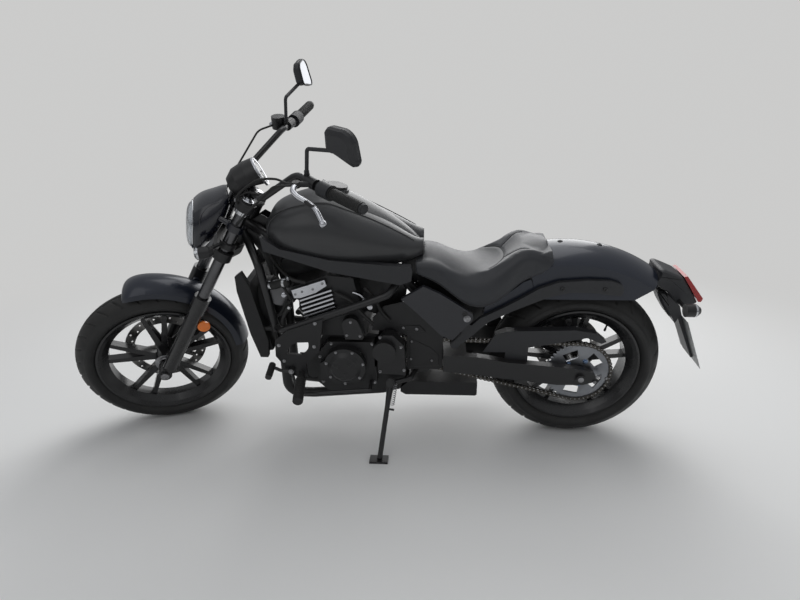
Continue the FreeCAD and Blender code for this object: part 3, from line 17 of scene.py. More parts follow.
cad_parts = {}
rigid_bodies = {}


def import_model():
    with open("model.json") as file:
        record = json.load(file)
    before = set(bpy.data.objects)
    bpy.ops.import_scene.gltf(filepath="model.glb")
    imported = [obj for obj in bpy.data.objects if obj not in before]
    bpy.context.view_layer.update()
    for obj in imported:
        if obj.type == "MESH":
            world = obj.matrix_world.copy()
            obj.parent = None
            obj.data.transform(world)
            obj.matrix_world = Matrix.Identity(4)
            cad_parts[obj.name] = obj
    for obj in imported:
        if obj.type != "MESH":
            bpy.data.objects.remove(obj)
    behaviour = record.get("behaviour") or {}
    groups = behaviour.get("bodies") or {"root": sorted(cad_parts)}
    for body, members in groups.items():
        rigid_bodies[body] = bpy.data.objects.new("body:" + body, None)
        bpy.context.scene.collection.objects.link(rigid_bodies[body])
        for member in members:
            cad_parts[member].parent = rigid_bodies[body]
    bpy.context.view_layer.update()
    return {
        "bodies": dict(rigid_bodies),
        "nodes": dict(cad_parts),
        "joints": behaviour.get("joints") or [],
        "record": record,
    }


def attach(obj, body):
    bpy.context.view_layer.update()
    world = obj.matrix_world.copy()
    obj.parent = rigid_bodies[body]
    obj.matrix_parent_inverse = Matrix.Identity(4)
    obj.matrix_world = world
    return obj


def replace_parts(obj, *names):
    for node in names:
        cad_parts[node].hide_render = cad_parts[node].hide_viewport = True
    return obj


LOG = logging.getLogger("motorcycle")

Pair = tuple[float, float]
Point = tuple[float, float, float]
MM = 0.001
SIDES = (-1.0, 1.0)
# Shared with the CAD: points and distances in millimetres of the upright machine, angles in degrees
FRONT_AXLE = (-787.5, 0.0, 312.6)
REAR_AXLE = (787.5, 0.0, 312.0)
STEER_FOOT = (-907.501, 0.0, 0.0)  # where the steering axis meets the ground
RAKE, LEAN, STEER, PITCH = 31.0, 9.0299, 23.12, -0.23834
FORK_B, FORK_Y, TUBE_TOP, UPPER_YOKE_LOW = -48.0, 98.0, 1106.0, 1072.0
CHAIN_Y = -98.0


class Body(Enum):
    """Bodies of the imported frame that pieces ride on."""

    CHASSIS = "chassis"
    STEERING = "steering"
    FRONT_WHEEL = "front_wheel"
    REAR_WHEEL = "rear_wheel"
    SIDE_STAND = "side_stand"


class Space(Enum):
    """Frames in which the sizes are given, millimetres: upright machine, turned front end, steering head, scene."""

    CHASSIS = "chassis"
    FRONT = "front"
    HEAD = "head"
    ROW = "row"


# Placing
@dataclass(frozen=True)
class Places:
    """Matrices from each space to the row frame, metres."""

    chassis: np.ndarray
    front: np.ndarray
    head: np.ndarray
    row: np.ndarray

    @classmethod
    def from_joints(cls, joints: Sequence[dict]) -> "Places":
        """Finds the parked place of the machine.

        Args:
            joints: The frame's joints, whose rear wheel centre fixes the shift.

        Returns:
            The matrices.
        """
        rear = next(j for j in joints if j["name"] == "rear_wheel_spin")["pos_m"]
        lean = Matrix.Rotation(math.radians(LEAN), 4, "X") @ Matrix.Rotation(math.radians(PITCH), 4, "Y")
        shift = Vector(rear) - lean @ (Vector(REAR_AXLE) * MM)
        chassis = Matrix.Translation(shift) @ lean
        foot = Matrix.Translation(Vector(STEER_FOOT) * MM)
        slope = math.radians(RAKE)
        axis = Vector((math.sin(slope), 0.0, math.cos(slope)))
        steer = foot @ Matrix.Rotation(math.radians(STEER), 4, axis) @ foot.inverted()
        head = chassis @ steer @ foot @ Matrix.Rotation(slope, 4, "Y")
        return cls(np.array(chassis), np.array(chassis @ steer), np.array(head), np.eye(4))

    def put(self, points: np.ndarray, space: Space) -> np.ndarray:
        """Points in millimetres of a space, moved to the row frame in metres."""
        matrix = getattr(self, space.value)
        return np.asarray(points, float) * MM @ matrix[:3, :3].T + matrix[:3, 3]

    def back(self, points: np.ndarray, space: Space) -> np.ndarray:
        """Points of the row frame in metres, moved to a space in millimetres."""
        matrix = getattr(self, space.value)
        return (points - matrix[:3, 3]) @ matrix[:3, :3] / MM

    def way(self, direction: Sequence[float], space: Space) -> np.ndarray:
        """A direction of a space in the row frame."""
        return getattr(self, space.value)[:3, :3] @ np.asarray(direction, float)


# Finishes
@dataclass(frozen=True)
class Finish:
    """One surface finish; colours are linear, scales are per metre."""

    name: str
    colour: Point
    roughness: float = 0.5
    metallic: float = 0.0
    coat: float = 0.0
    grain: float = 0.0
    grain_scale: float = 900.0
    mottle: float = 0.12
    mottle_scale: float = 14.0
    dust: float = 0.0
    wear: float = 0.0
    transmission: float = 0.0
    leather: float = 0.0
    specular: float = 0.5
    sheen: float = 0.0


FRAME_BLACK = Finish("frame_black", (0.010, 0.010, 0.011), 0.40, coat=0.15, grain=0.06, dust=0.06, wear=0.2)
CAST_BLACK = Finish("cast_black", (0.009, 0.009, 0.010), 0.48, grain=0.30, grain_scale=1400.0, dust=0.07, wear=0.25)
CAST_GREY = Finish("cast_grey", (0.012, 0.012, 0.013), 0.5, grain=0.35, grain_scale=1300.0, dust=0.08, wear=0.2)
COVER_BLACK = Finish("cover_black", (0.009, 0.009, 0.010), 0.42, coat=0.10, grain=0.12, dust=0.05, wear=0.25)
RADIATOR_BLACK = Finish("radiator_black", (0.008, 0.008, 0.009), 0.6, grain=0.3, grain_scale=700.0, dust=0.1)
PIPE_BLACK = Finish("pipe_black", (0.008, 0.008, 0.009), 0.46, grain=0.2, dust=0.08)
TANK_MATTE = Finish("tank_matte", (0.040, 0.041, 0.043), 0.36, coat=0.10, grain=0.03, grain_scale=2400.0, mottle=0.05)
TRIM_MATTE = Finish("trim_matte", (0.021, 0.022, 0.025), 0.46, grain=0.12, grain_scale=1800.0, dust=0.05)
SIDE_SATIN = Finish("side_satin", (0.024, 0.025, 0.030), 0.38, coat=0.1, grain=0.04, grain_scale=2000.0, mottle=0.06)
# Near-black: real dark joints, and painted shade in the tank's inset groove
GAP_AND_GROOVE_SHADE = Finish("gap_and_groove_shade", (0.003, 0.003, 0.003), 0.7)
MIDNIGHT = Finish("midnight", (0.012, 0.016, 0.028), 0.30, metallic=0.25, coat=0.35, grain=0.02, mottle=0.05)
SHELL_BLACK = Finish("shell_black", (0.005, 0.006, 0.012), 0.24, coat=0.5, grain=0.02, mottle=0.05)
SADDLE = Finish("saddle_leather", (0.028, 0.030, 0.035), 0.45, leather=0.35, mottle=0.10, dust=0.03, sheen=0.25)
SEAM = Finish("saddle_seam", (0.008, 0.008, 0.009), 0.7)
RED_LENS = Finish("red_lens", (0.38, 0.006, 0.006), 0.14, coat=0.4, mottle=0.05)
AMBER = Finish("amber_lens", (0.85, 0.20, 0.015), 0.18, coat=0.6, grain=0.5, grain_scale=300.0)
CLEAR = Finish("clear_lens", (0.93, 0.95, 0.97), 0.04, transmission=0.92, mottle=0.0)
DARK_CHROME = Finish("dark_chrome", (0.13, 0.13, 0.135), 0.24, metallic=1.0, mottle=0.08)
CHROME = Finish("chrome", (0.60, 0.61, 0.63), 0.12, metallic=1.0, mottle=0.06)
ALLOY = Finish("polished_alloy", (0.60, 0.61, 0.64), 0.24, metallic=1.0, grain=0.05, mottle=0.1)
STEEL = Finish("zinc_steel", (0.32, 0.32, 0.33), 0.34, metallic=1.0, grain=0.1, mottle=0.25, mottle_scale=60.0)
SPROCKET_ALLOY = Finish("sprocket_alloy", (0.27, 0.28, 0.30), 0.36, metallic=0.85, grain=0.12, mottle=0.2)
CHAIN_STEEL = Finish("chain_steel", (0.085, 0.08, 0.072), 0.30, metallic=1.0, mottle=0.5, mottle_scale=90.0)
BLUED = Finish("blued_bolt", (0.20, 0.28, 0.42), 0.25, metallic=1.0)
RIM_BLACK = Finish("rim_black", (0.006, 0.006, 0.007), 0.28, coat=0.35, dust=0.04)
RUBBER = Finish("rubber", (0.011, 0.011, 0.011), 0.62, grain=0.15, dust=0.06)
TYRE_RUBBER = Finish("tyre_rubber", (0.013, 0.013, 0.013), 0.62, grain=0.18, grain_scale=1100.0, mottle=0.25,
                     dust=0.10)
BAR_BLACK = Finish("bar_black", (0.010, 0.010, 0.011), 0.30, coat=0.3, grain=0.04)
MIRROR = Finish("mirror", (0.20, 0.21, 0.23), 0.12, metallic=1.0, mottle=0.0)
PLATE_GREY = Finish("plate_grey", (0.26, 0.27, 0.27), 0.42, metallic=0.2, mottle=0.15, dust=0.1)
DISC_STEEL = Finish("disc_steel", (0.24, 0.235, 0.23), 0.30, metallic=1.0, mottle=0.15)
DIAL = Finish("dial", (0.008, 0.008, 0.009), 0.3)
LCD = Finish("display", (0.16, 0.19, 0.16), 0.2)

NODE_FINISH = {
    "main_frame": FRAME_BLACK, "rear_rails": TRIM_MATTE, "engine_cases": CAST_BLACK, "cylinder_block": CAST_GREY,
    "engine_covers": COVER_BLACK, "radiator": RADIATOR_BLACK, "exhaust": PIPE_BLACK, "fuel_tank": TANK_MATTE,
    "frame_covers": TRIM_MATTE, "side_covers": SIDE_SATIN, "rear_fender": MIDNIGHT,
    "tail_lens": RED_LENS, "rear_signals": COVER_BLACK, "plate_carrier": TRIM_MATTE,
    "number_plate": PLATE_GREY, "swingarm": FRAME_BLACK, "shock": DARK_CHROME,
    "chain_guard": TRIM_MATTE, "rear_caliper": CAST_BLACK, "footrests": CAST_BLACK, "foot_controls": FRAME_BLACK,
    "yokes": COVER_BLACK, "stanchions": DARK_CHROME, "fork_sliders": RIM_BLACK, "front_axle": STEEL,
    "front_fender": MIDNIGHT, "side_reflectors": AMBER, "headlight_shell": SHELL_BLACK,
    "gauge": COVER_BLACK, "handlebar": BAR_BLACK, "grips": RUBBER, "switches": TRIM_MATTE, "levers": COVER_BLACK,
    "mirrors": TRIM_MATTE, "mirror_glass": MIRROR, "front_signals": COVER_BLACK, "front_caliper": CAST_BLACK,
    "control_cables": RUBBER, "front_rim": RIM_BLACK, "front_disc": DISC_STEEL, "rear_rim": RIM_BLACK,
    "rear_sprocket": SPROCKET_ALLOY, "rear_disc": DISC_STEEL, "side_stand": FRAME_BLACK, "fuel_cap": COVER_BLACK,
}

ROUND_EDGES = {"engine_cases": 3.0, "cylinder_block": 1.2, "engine_covers": 2.5, "exhaust": 5.0, "side_covers": 8.0,
               "frame_covers": 9.0, "rear_rails": 5.0, "tail_lens": 4.0, "plate_carrier": 1.2,
               "chain_guard": 1.0, "swingarm": 7.0, "main_frame": 2.0, "yokes": 3.0, "front_rim": 2.0,
               "rear_rim": 2.0, "switches": 3.0, "gauge": 3.0, "footrests": 2.0, "front_caliper": 4.0,
               "rear_caliper": 4.0, "radiator": 1.5, "fuel_tank": 3.0, "headlight_shell": 3.0, "grips": 1.5,
               "rear_sprocket": 0.5, "side_stand": 1.5, "fuel_cap": 1.5, "mirrors": 1.5, "number_plate": 0.4}


FLOAT, VECTOR, COLOUR = "NodeSocketFloat", "NodeSocketVector", "NodeSocketColor"


def add_node(tree: bpy.types.NodeTree, kind: str, values: dict[str | int, object] | None = None,
             **settings: object) -> bpy.types.Node:
    """Adds a shader node.

    Args:
        tree: Tree that it goes into.
        kind: Its type, without the first words that all shader nodes share.
        values: Values of its inputs, by name or number.
        settings: Its other settings.

    Returns:
        The node.
    """
    node = tree.nodes.new("ShaderNode" + kind)
    for name, setting in settings.items():
        setattr(node, name, setting)
    for key, value in (values or {}).items():
        node.inputs[key].default_value = value
    return node


def wire(tree: bpy.types.NodeTree, *links: tuple[bpy.types.Node, str, bpy.types.Node, str | int]) -> None:
    """Links nodes.

    Args:
        tree: Their tree.
        links: For each link the first node, its output, the second node and its input.
    """
    for start, output, end, into in links:
        tree.links.new(start.outputs[output], end.inputs[into])


@dataclass
class NodeGroups:
    """Shared effects that give only colours, masks and normals; heights and radii in metres, scales per metre."""

    grain_height: float = 0.0006
    leather_height: float = 0.0005
    leather_scale: float = 520.0
    dust_scale: float = 35.0
    wear_scale: float = 120.0
    wear_radius: float = 0.0018

    @staticmethod
    def empty(name: str, inputs: Sequence[tuple[str, str, object]], outputs: Sequence[tuple[str, str]],
              ) -> tuple[bpy.types.NodeTree, bpy.types.Node, bpy.types.Node]:
        """Empty group with its sockets.

        Args:
            name: Name of the group.
            inputs: Name, socket type and value of each input.
            outputs: Name and socket type of each output.

        Returns:
            The tree, its input node and its output node.
        """
        tree = bpy.data.node_groups.new(name, "ShaderNodeTree")
        for label, kind, value in inputs:
            tree.interface.new_socket(name=label, in_out="INPUT", socket_type=kind).default_value = value
        for label, kind in outputs:
            tree.interface.new_socket(name=label, in_out="OUTPUT", socket_type=kind)
        return tree, tree.nodes.new("NodeGroupInput"), tree.nodes.new("NodeGroupOutput")

    @cached_property
    def grain(self) -> bpy.types.NodeTree:
        """Fine surface grain: noise read as height.

        Returns:
            A group that gives a normal.
        """
        tree, given, out = self.empty("grain", [("Scale", FLOAT, 900.0), ("Depth", FLOAT, 0.1)], [("Normal", VECTOR)])
        coord = add_node(tree, "TexCoord")
        noise = add_node(tree, "TexNoise", {"Detail": 3.0})
        bump = add_node(tree, "Bump", {"Distance": self.grain_height})
        wire(tree, (coord, "Object", noise, "Vector"), (given, "Scale", noise, "Scale"),
             (noise, "Fac", bump, "Height"), (given, "Depth", bump, "Strength"), (bump, "Normal", out, "Normal"))
        return tree

    @cached_property
    def leather(self) -> bpy.types.NodeTree:
        """Pebbled cover of the saddle: distance to the cells' edges read as height.

        Returns:
            A group that gives a normal.
        """
        tree, given, out = self.empty("leather", [("Depth", FLOAT, 0.3)], [("Normal", VECTOR)])
        coord = add_node(tree, "TexCoord")
        cells = add_node(tree, "TexVoronoi", {"Scale": self.leather_scale}, feature="DISTANCE_TO_EDGE")
        bump = add_node(tree, "Bump", {"Distance": self.leather_height})
        wire(tree, (coord, "Object", cells, "Vector"), (cells, "Distance", bump, "Height"),
             (given, "Depth", bump, "Strength"), (bump, "Normal", out, "Normal"))
        return tree

    @cached_property
    def mottle(self) -> bpy.types.NodeTree:
        """Broad unevenness: colour and roughness times one plus the amount times noise between -1 and 1.

        Returns:
            A group that gives a colour and a roughness.
        """
        tree, given, out = self.empty(
            "mottle", [("Colour", COLOUR, (0.5, 0.5, 0.5, 1.0)), ("Scale", FLOAT, 14.0), ("Amount", FLOAT, 0.1),
                       ("Roughness", FLOAT, 0.5)], [("Colour", COLOUR), ("Roughness", FLOAT)])
        coord = add_node(tree, "TexCoord")
        noise = add_node(tree, "TexNoise", {"Detail": 6.0})
        spread = add_node(tree, "MapRange", {"From Min": 0.3, "From Max": 0.7, "To Min": -1.0, "To Max": 1.0})
        size = add_node(tree, "Math", operation="MULTIPLY")
        gain = add_node(tree, "Math", {1: 1.0}, operation="ADD")
        tint = add_node(tree, "VectorMath", operation="SCALE")
        gloss = add_node(tree, "Math", operation="MULTIPLY", use_clamp=True)
        wire(tree, (coord, "Object", noise, "Vector"), (given, "Scale", noise, "Scale"),
             (noise, "Fac", spread, "Value"), (spread, "Result", size, 0), (given, "Amount", size, 1),
             (size, "Value", gain, 0), (given, "Colour", tint, 0), (gain, "Value", tint, "Scale"),
             (given, "Roughness", gloss, 0), (gain, "Value", gloss, 1),
             (tint, "Vector", out, "Colour"), (gloss, "Value", out, "Roughness"))
        return tree

    @cached_property
    def dust(self) -> bpy.types.NodeTree:
        """Road dust that settles in patches on what faces up.

        Returns:
            A group that gives a mask.
        """
        tree, given, out = self.empty("dust", [("Amount", FLOAT, 0.1)], [("Mask", FLOAT)])
        shape = add_node(tree, "NewGeometry")
        split = add_node(tree, "SeparateXYZ")
        facing = add_node(tree, "MapRange", {"From Min": -0.2, "From Max": 1.0})
        wire(tree, (shape, "Normal", split, "Vector"), (split, "Z", facing, "Value"))
        noise = add_node(tree, "TexNoise", {"Scale": self.dust_scale, "Detail": 8.0})
        self.patches(tree, facing, noise, given, out)
        return tree

    @cached_property
    def edge_wear(self) -> bpy.types.NodeTree:
        """Rubbed edges: where the rounded normal leaves the plain one, broken up by noise.

        Returns:
            A group that gives a mask.
        """
        tree, given, out = self.empty("edge_wear", [("Amount", FLOAT, 0.3)], [("Mask", FLOAT)])
        bevel = add_node(tree, "Bevel", {"Radius": self.wear_radius}, samples=4)
        shape = add_node(tree, "NewGeometry")
        dot = add_node(tree, "VectorMath", operation="DOT_PRODUCT")
        edge = add_node(tree, "MapRange", {"From Min": 0.99, "From Max": 0.86})
        wire(tree, (bevel, "Normal", dot, 0), (shape, "Normal", dot, 1), (dot, "Value", edge, "Value"))
        noise = add_node(tree, "TexNoise", {"Scale": self.wear_scale})
        self.patches(tree, edge, noise, given, out)
        return tree

    @staticmethod
    def patches(tree: bpy.types.NodeTree, share: bpy.types.Node, noise: bpy.types.Node, given: bpy.types.Node,
                out: bpy.types.Node) -> None:
        """Ends a mask: the share times the noise times the amount.

        Args:
            tree: Tree of the group.
            share: Map range node of the share.
            noise: Noise node.
            given: Input node of the group.
            out: Output node of the group.
        """
        coord = add_node(tree, "TexCoord")
        broken = add_node(tree, "Math", operation="MULTIPLY")
        total = add_node(tree, "Math", operation="MULTIPLY", use_clamp=True)
        wire(tree, (coord, "Object", noise, "Vector"), (share, "Result", broken, 0), (noise, "Fac", broken, 1),
             (broken, "Value", total, 0), (given, "Amount", total, 1), (total, "Value", out, "Mask"))


@dataclass
class Paint:
    """Makes each finish's material once."""

    groups: NodeGroups = field(default_factory=NodeGroups)
    made: dict[str, bpy.types.Material] = field(default_factory=dict)
    dust_colour: tuple[float, float, float, float] = (0.23, 0.21, 0.18, 1.0)
    worn_colour: tuple[float, float, float, float] = (0.16, 0.16, 0.16, 1.0)
    coat_roughness: float = 0.12
    sheen_roughness: float = 0.35

    def material(self, finish: Finish) -> bpy.types.Material:
        """The material of a finish.

        Args:
            finish: What the surface is like.

        Returns:
            A node material, the same one for the same finish.
        """
        if finish.name in self.made:
            return self.made[finish.name]
        material = bpy.data.materials.new(finish.name)
        material.use_nodes = True
        tree = material.node_tree
        shader = tree.nodes["Principled BSDF"]
        for name, value in (("Metallic", finish.metallic), ("Coat Weight", finish.coat),
                            ("Coat Roughness", self.coat_roughness), ("Transmission Weight", finish.transmission),
                            ("Specular IOR Level", finish.specular), ("Sheen Weight", finish.sheen),
                            ("Sheen Roughness", self.sheen_roughness)):
            shader.inputs[name].default_value = value
        mottle = add_node(tree, "Group", {"Colour": (*finish.colour, 1.0), "Scale": finish.mottle_scale,
                                          "Amount": finish.mottle, "Roughness": finish.roughness},
                          node_tree=self.groups.mottle)
        wire(tree, (mottle, "Roughness", shader, "Roughness"))
        colour = mottle.outputs["Colour"]
        if finish.wear:
            wear = add_node(tree, "Group", {"Amount": finish.wear}, node_tree=self.groups.edge_wear)
            colour = self.blend(tree, colour, self.worn_colour, wear.outputs["Mask"])
        if finish.dust:
            dust = add_node(tree, "Group", {"Amount": finish.dust}, node_tree=self.groups.dust)
            colour = self.blend(tree, colour, self.dust_colour, dust.outputs["Mask"])
        tree.links.new(colour, shader.inputs["Base Color"])
        if finish.leather:
            leather = add_node(tree, "Group", {"Depth": finish.leather}, node_tree=self.groups.leather)
            wire(tree, (leather, "Normal", shader, "Normal"))
        elif finish.grain:
            grain = add_node(tree, "Group", {"Scale": finish.grain_scale, "Depth": finish.grain},
                             node_tree=self.groups.grain)
            wire(tree, (grain, "Normal", shader, "Normal"))
        self.made[finish.name] = material
        return material

    @staticmethod
    def blend(tree: bpy.types.NodeTree, colour: bpy.types.NodeSocket, other: tuple[float, float, float, float],
              mask: bpy.types.NodeSocket) -> bpy.types.NodeSocket:
        """Blends a colour towards a fixed one.

        Args:
            tree: Tree of the material.
            colour: Output that gives the colour.
            other: The fixed colour.
            mask: Output that gives the share of the fixed colour.

        Returns:
            Output that gives the blend.
        """
        mix = add_node(tree, "Mix", {"B": other}, data_type="RGBA")
        tree.links.new(mask, mix.inputs["Factor"])
        tree.links.new(colour, mix.inputs["A"])
        return mix.outputs["Result"]


# Shapes as vertex and face arrays
@dataclass
class Shape:
    """Vertices in millimetres and faces, added up from parts."""

    verts: list[np.ndarray] = field(default_factory=list)
    faces: list[list[int]] = field(default_factory=list)
    count: int = 0

    def add(self, verts: np.ndarray, faces: Sequence[Sequence[int]]) -> "Shape":
        """Adds one closed part.

        Args:
            verts: Its vertices.
            faces: Its faces, as numbers of these vertices.

        Returns:
            The shape.
        """
        start = self.count
        self.verts.append(np.asarray(verts, float).reshape(-1, 3))
        self.faces.extend([[i + start for i in face] for face in faces])
        self.count += len(self.verts[-1])
        return self

    def grid(self, points: np.ndarray, ring: bool = True, loop: bool = False) -> "Shape":
        """Adds a surface of rows of points: four neighbours, one step down and one to the right, make a face.

        Args:
            points: Array (rows, columns, 3).
            ring: Whether each row closes on itself.
            loop: Whether the last row joins the first; otherwise closed rows get end caps.

        Returns:
            The shape.
        """
        rows, cols = points.shape[:2]
        i, j = np.meshgrid(np.arange(rows if loop else rows - 1), np.arange(cols if ring else cols - 1),
                           indexing="ij")
        i, j = i.ravel(), j.ravel()
        down, right = (i + 1) % rows, (j + 1) % cols
        faces = np.stack([i * cols + j, i * cols + right, down * cols + right, down * cols + j], 1).tolist()
        if ring and not loop:
            faces.append(list(range(cols))[::-1])
            faces.append([(rows - 1) * cols + k for k in range(cols)])
        return self.add(points.reshape(-1, 3), faces)

    def lathe(self, base: Sequence[float], way: Sequence[float], profile: Sequence[Pair],
              segments: int = 24, turn: float = 0.0) -> "Shape":
        """Adds a turned part: base + along way + radius (u cos a + v sin a) for each profile point and angle.

        Args:
            base: Start of the axis.
            way: Direction of the axis.
            profile: Pairs of distance along the axis and radius.
            segments: Sides of the turned part.
            turn: First corner's angle, radians.

        Returns:
            The shape.
        """
        way = unit(way)
        u, v = across(way)
        angle = turn + np.linspace(0.0, 2 * math.pi, segments, endpoint=False)
        circle = np.cos(angle)[:, None] * u + np.sin(angle)[:, None] * v
        rows = [np.asarray(base) + way * along + circle * radius for along, radius in profile]
        return self.grid(np.array(rows))

    def bolt(self, base: Sequence[float], way: Sequence[float], radius: float = 6.0,
             height: float = 5.0) -> "Shape":
        """Adds a hexagon head on its washer.

        Args:
            base: Middle of the seat.
            way: Direction that the head points in.
            radius: Radius over the corners.
            height: Height of the head.

        Returns:
            The shape.
        """
        washer = [(-0.6, radius * 1.2), (0.7, radius * 1.2), (1.0, radius * 1.1)]
        head = [(0.6, radius), (height - 1.0, radius), (height, radius * 0.82)]
        return self.lathe(base, way, washer, 14).lathe(base, way, head, 6)

    def button(self, base: Sequence[float], way: Sequence[float], radius: float = 7.0,
               height: float = 4.0) -> "Shape":
        """Adds a domed screw head with its socket.

        Args:
            base: Middle of the seat.
            way: Direction that the head points in.
            radius: Radius of the head.
            height: Height of the head.

        Returns:
            The shape.
        """
        profile = [(-0.5, radius), (height * 0.35, radius), (height * 0.8, radius * 0.8), (height, radius * 0.5),
                   (height * 0.99, radius * 0.38), (height * 0.4, radius * 0.34)]
        return self.lathe(base, way, profile, 18)

    def tube(self, path: Sequence[Sequence[float]], radius: float | Sequence[float], segments: int = 12,
             smooth: int = 6) -> "Shape":
        """Adds a round bar: a circle c + r (u cos a + v sin a), square to a smooth line and carried along it.

        Args:
            path: Points of the line.
            radius: One radius, or one for each point.
            segments: Sides of the bar.
            smooth: Steps between two points.

        Returns:
            The shape.
        """
        points = np.asarray(path, float)
        radii = np.broadcast_to(np.asarray(radius, float), (len(points),))
        line = through(np.column_stack([points, radii]), smooth)
        centre, radii = line[:, :3], line[:, 3]
        ways = np.gradient(centre, axis=0)
        ways /= np.linalg.norm(ways, axis=1)[:, None]
        u = across(ways[0])[0]
        rows = []
        angle = np.linspace(0.0, 2 * math.pi, segments, endpoint=False)
        for c, w, r in zip(centre, ways, radii):
            u = unit(u - w * np.dot(u, w))
            v = np.cross(w, u)
            rows.append(c + (np.cos(angle)[:, None] * u + np.sin(angle)[:, None] * v) * r)
        ends = [centre[0] + (rows[0] - centre[0]) * 0.6 - ways[0] * radii[0] * 0.35]
        tail = [centre[-1] + (rows[-1] - centre[-1]) * 0.6 + ways[-1] * radii[-1] * 0.35]
        return self.grid(np.array(ends + rows + tail))

    def plate(self, outline: Sequence[Pair], y0: float, y1: float, bevel: float = 1.5) -> "Shape":
        """Adds a plate: the outline carried across, and moved inwards by the chamfer at both faces.

        Args:
            outline: Corners (x, z), in order.
            y0: Inner face.
            y1: Outer face.
            bevel: Width of the chamfer.

        Returns:
            The shape.
        """
        pts = np.asarray(outline, float)
        lo, hi = min(y0, y1), max(y0, y1)
        bevel = min(bevel, (hi - lo) * 0.45)
        small = inset(pts, bevel)
        rows = [(small, lo), (pts, lo + bevel), (pts, hi - bevel), (small, hi)]
        return self.grid(np.array([np.column_stack([p[:, 0], np.full(len(p), y), p[:, 1]]) for p, y in rows]))


def unit(v: Sequence[float]) -> np.ndarray:
    """A direction of length one."""
    v = np.asarray(v, float)
    return v / np.linalg.norm(v)


def across(way: np.ndarray) -> tuple[np.ndarray, np.ndarray]:
    """Two directions square to a third, by cross products with an upright or a lengthwise one.

    Args:
        way: The third, of length one.

    Returns:
        Both directions.
    """
    other = np.array([0.0, 0.0, 1.0]) if abs(way[2]) < 0.8 else np.array([1.0, 0.0, 0.0])
    u = unit(np.cross(other, way))
    return u, np.cross(way, u)


def through(points: np.ndarray, steps: int) -> np.ndarray:
    """Catmull-Rom line through points, p(t) = half of (2b + (c-a)t + (2a-5b+4c-d)t^2 + (3b-a-3c+d)t^3).

    Args:
        points: Points of the line, in any number of dimensions.
        steps: Points from each one to the next.

    Returns:
        Points of the line.
    """
    padded = np.vstack([2 * points[0] - points[1], points, 2 * points[-1] - points[-2]])
    a, b, c, d = padded[:-3, None], padded[1:-2, None], padded[2:-1, None], padded[3:, None]
    t = np.linspace(0.0, 1.0, steps, endpoint=False)[None, :, None]
    line = 0.5 * (2 * b + (c - a) * t + (2 * a - 5 * b + 4 * c - d) * t ** 2 + (3 * b - a - 3 * c + d) * t ** 3)
    return np.vstack([line.reshape(-1, points.shape[1]), points[-1]])


def inset(points: np.ndarray, by: float) -> np.ndarray:
    """A closed outline moved inwards, each corner along the mean of its edges' normals.

    Args:
        points: Corners (x, z).
        by: How far its edges move.

    Returns:
        The moved corners.
    """
    before, after = points - np.roll(points, 1, 0), np.roll(points, -1, 0) - points
    area = 0.5 * np.sum(points[:, 0] * np.roll(points[:, 1], -1) - points[:, 1] * np.roll(points[:, 0], -1))
    turn = np.sign(area)
    n0 = np.column_stack([-before[:, 1], before[:, 0]]) / np.linalg.norm(before, axis=1)[:, None] * turn
    n1 = np.column_stack([-after[:, 1], after[:, 0]]) / np.linalg.norm(after, axis=1)[:, None] * turn
    mean = n0 + n1
    scale = 2.0 / np.maximum(np.sum(mean * mean, 1), 0.8)
    return points + mean * scale[:, None] * by


def rounded(points: Sequence[Sequence[float]], radius: float, steps: int = 5) -> np.ndarray:
    """A closed outline with each corner p turned into the curve (1-t)^2 a + 2t(1-t) p + t^2 b.

    Args:
        points: Corners (x, z).
        radius: How far a curve starts from its corner.
        steps: Points of each curve.

    Returns:
        Points of the outline.
    """
    p = np.asarray(points, float)
    back, ahead = np.roll(p, 1, 0) - p, np.roll(p, -1, 0) - p
    lb, la = np.linalg.norm(back, axis=1)[:, None], np.linalg.norm(ahead, axis=1)[:, None]
    a, b = p + back / lb * np.minimum(radius, lb / 2.2), p + ahead / la * np.minimum(radius, la / 2.2)
    t = np.linspace(0.0, 1.0, steps)[None, :, None]
    return ((1 - t) ** 2 * a[:, None] + 2 * t * (1 - t) * p[:, None] + t ** 2 * b[:, None]).reshape(-1, 2)


def spot(centre: Sequence[float], y: float, radius: float, angle: float) -> Point:
    """A point at y on a circle of radius r about the crosswise axis through (x, z): x + r cos a, z + r sin a."""
    return centre[0] + radius * math.cos(angle), y, centre[-1] + radius * math.sin(angle)


def aside(at: Sequence[float], side: float) -> Point:
    """A point given for the right side, put on either side: x, side y, z."""
    return at[0], side * at[1], at[2]


def coil(start: np.ndarray, end: np.ndarray, radius: float, turns: float, count: int) -> np.ndarray:
    """Line of a coil spring: along its axis by t, and round it by radius (u cos w + v sin w), w = 2 pi turns t.

    Args:
        start: Start of its axis.
        end: End of its axis.
        radius: Radius of the line.
        turns: Number of turns.
        count: Number of points.

    Returns:
        Points of the line.
    """
    u, v = across(unit(end - start))
    t = np.linspace(0, 1, count)[:, None]
    w = t * 2 * math.pi * turns
    return start + (end - start) * t + (u * np.cos(w) + v * np.sin(w)) * radius


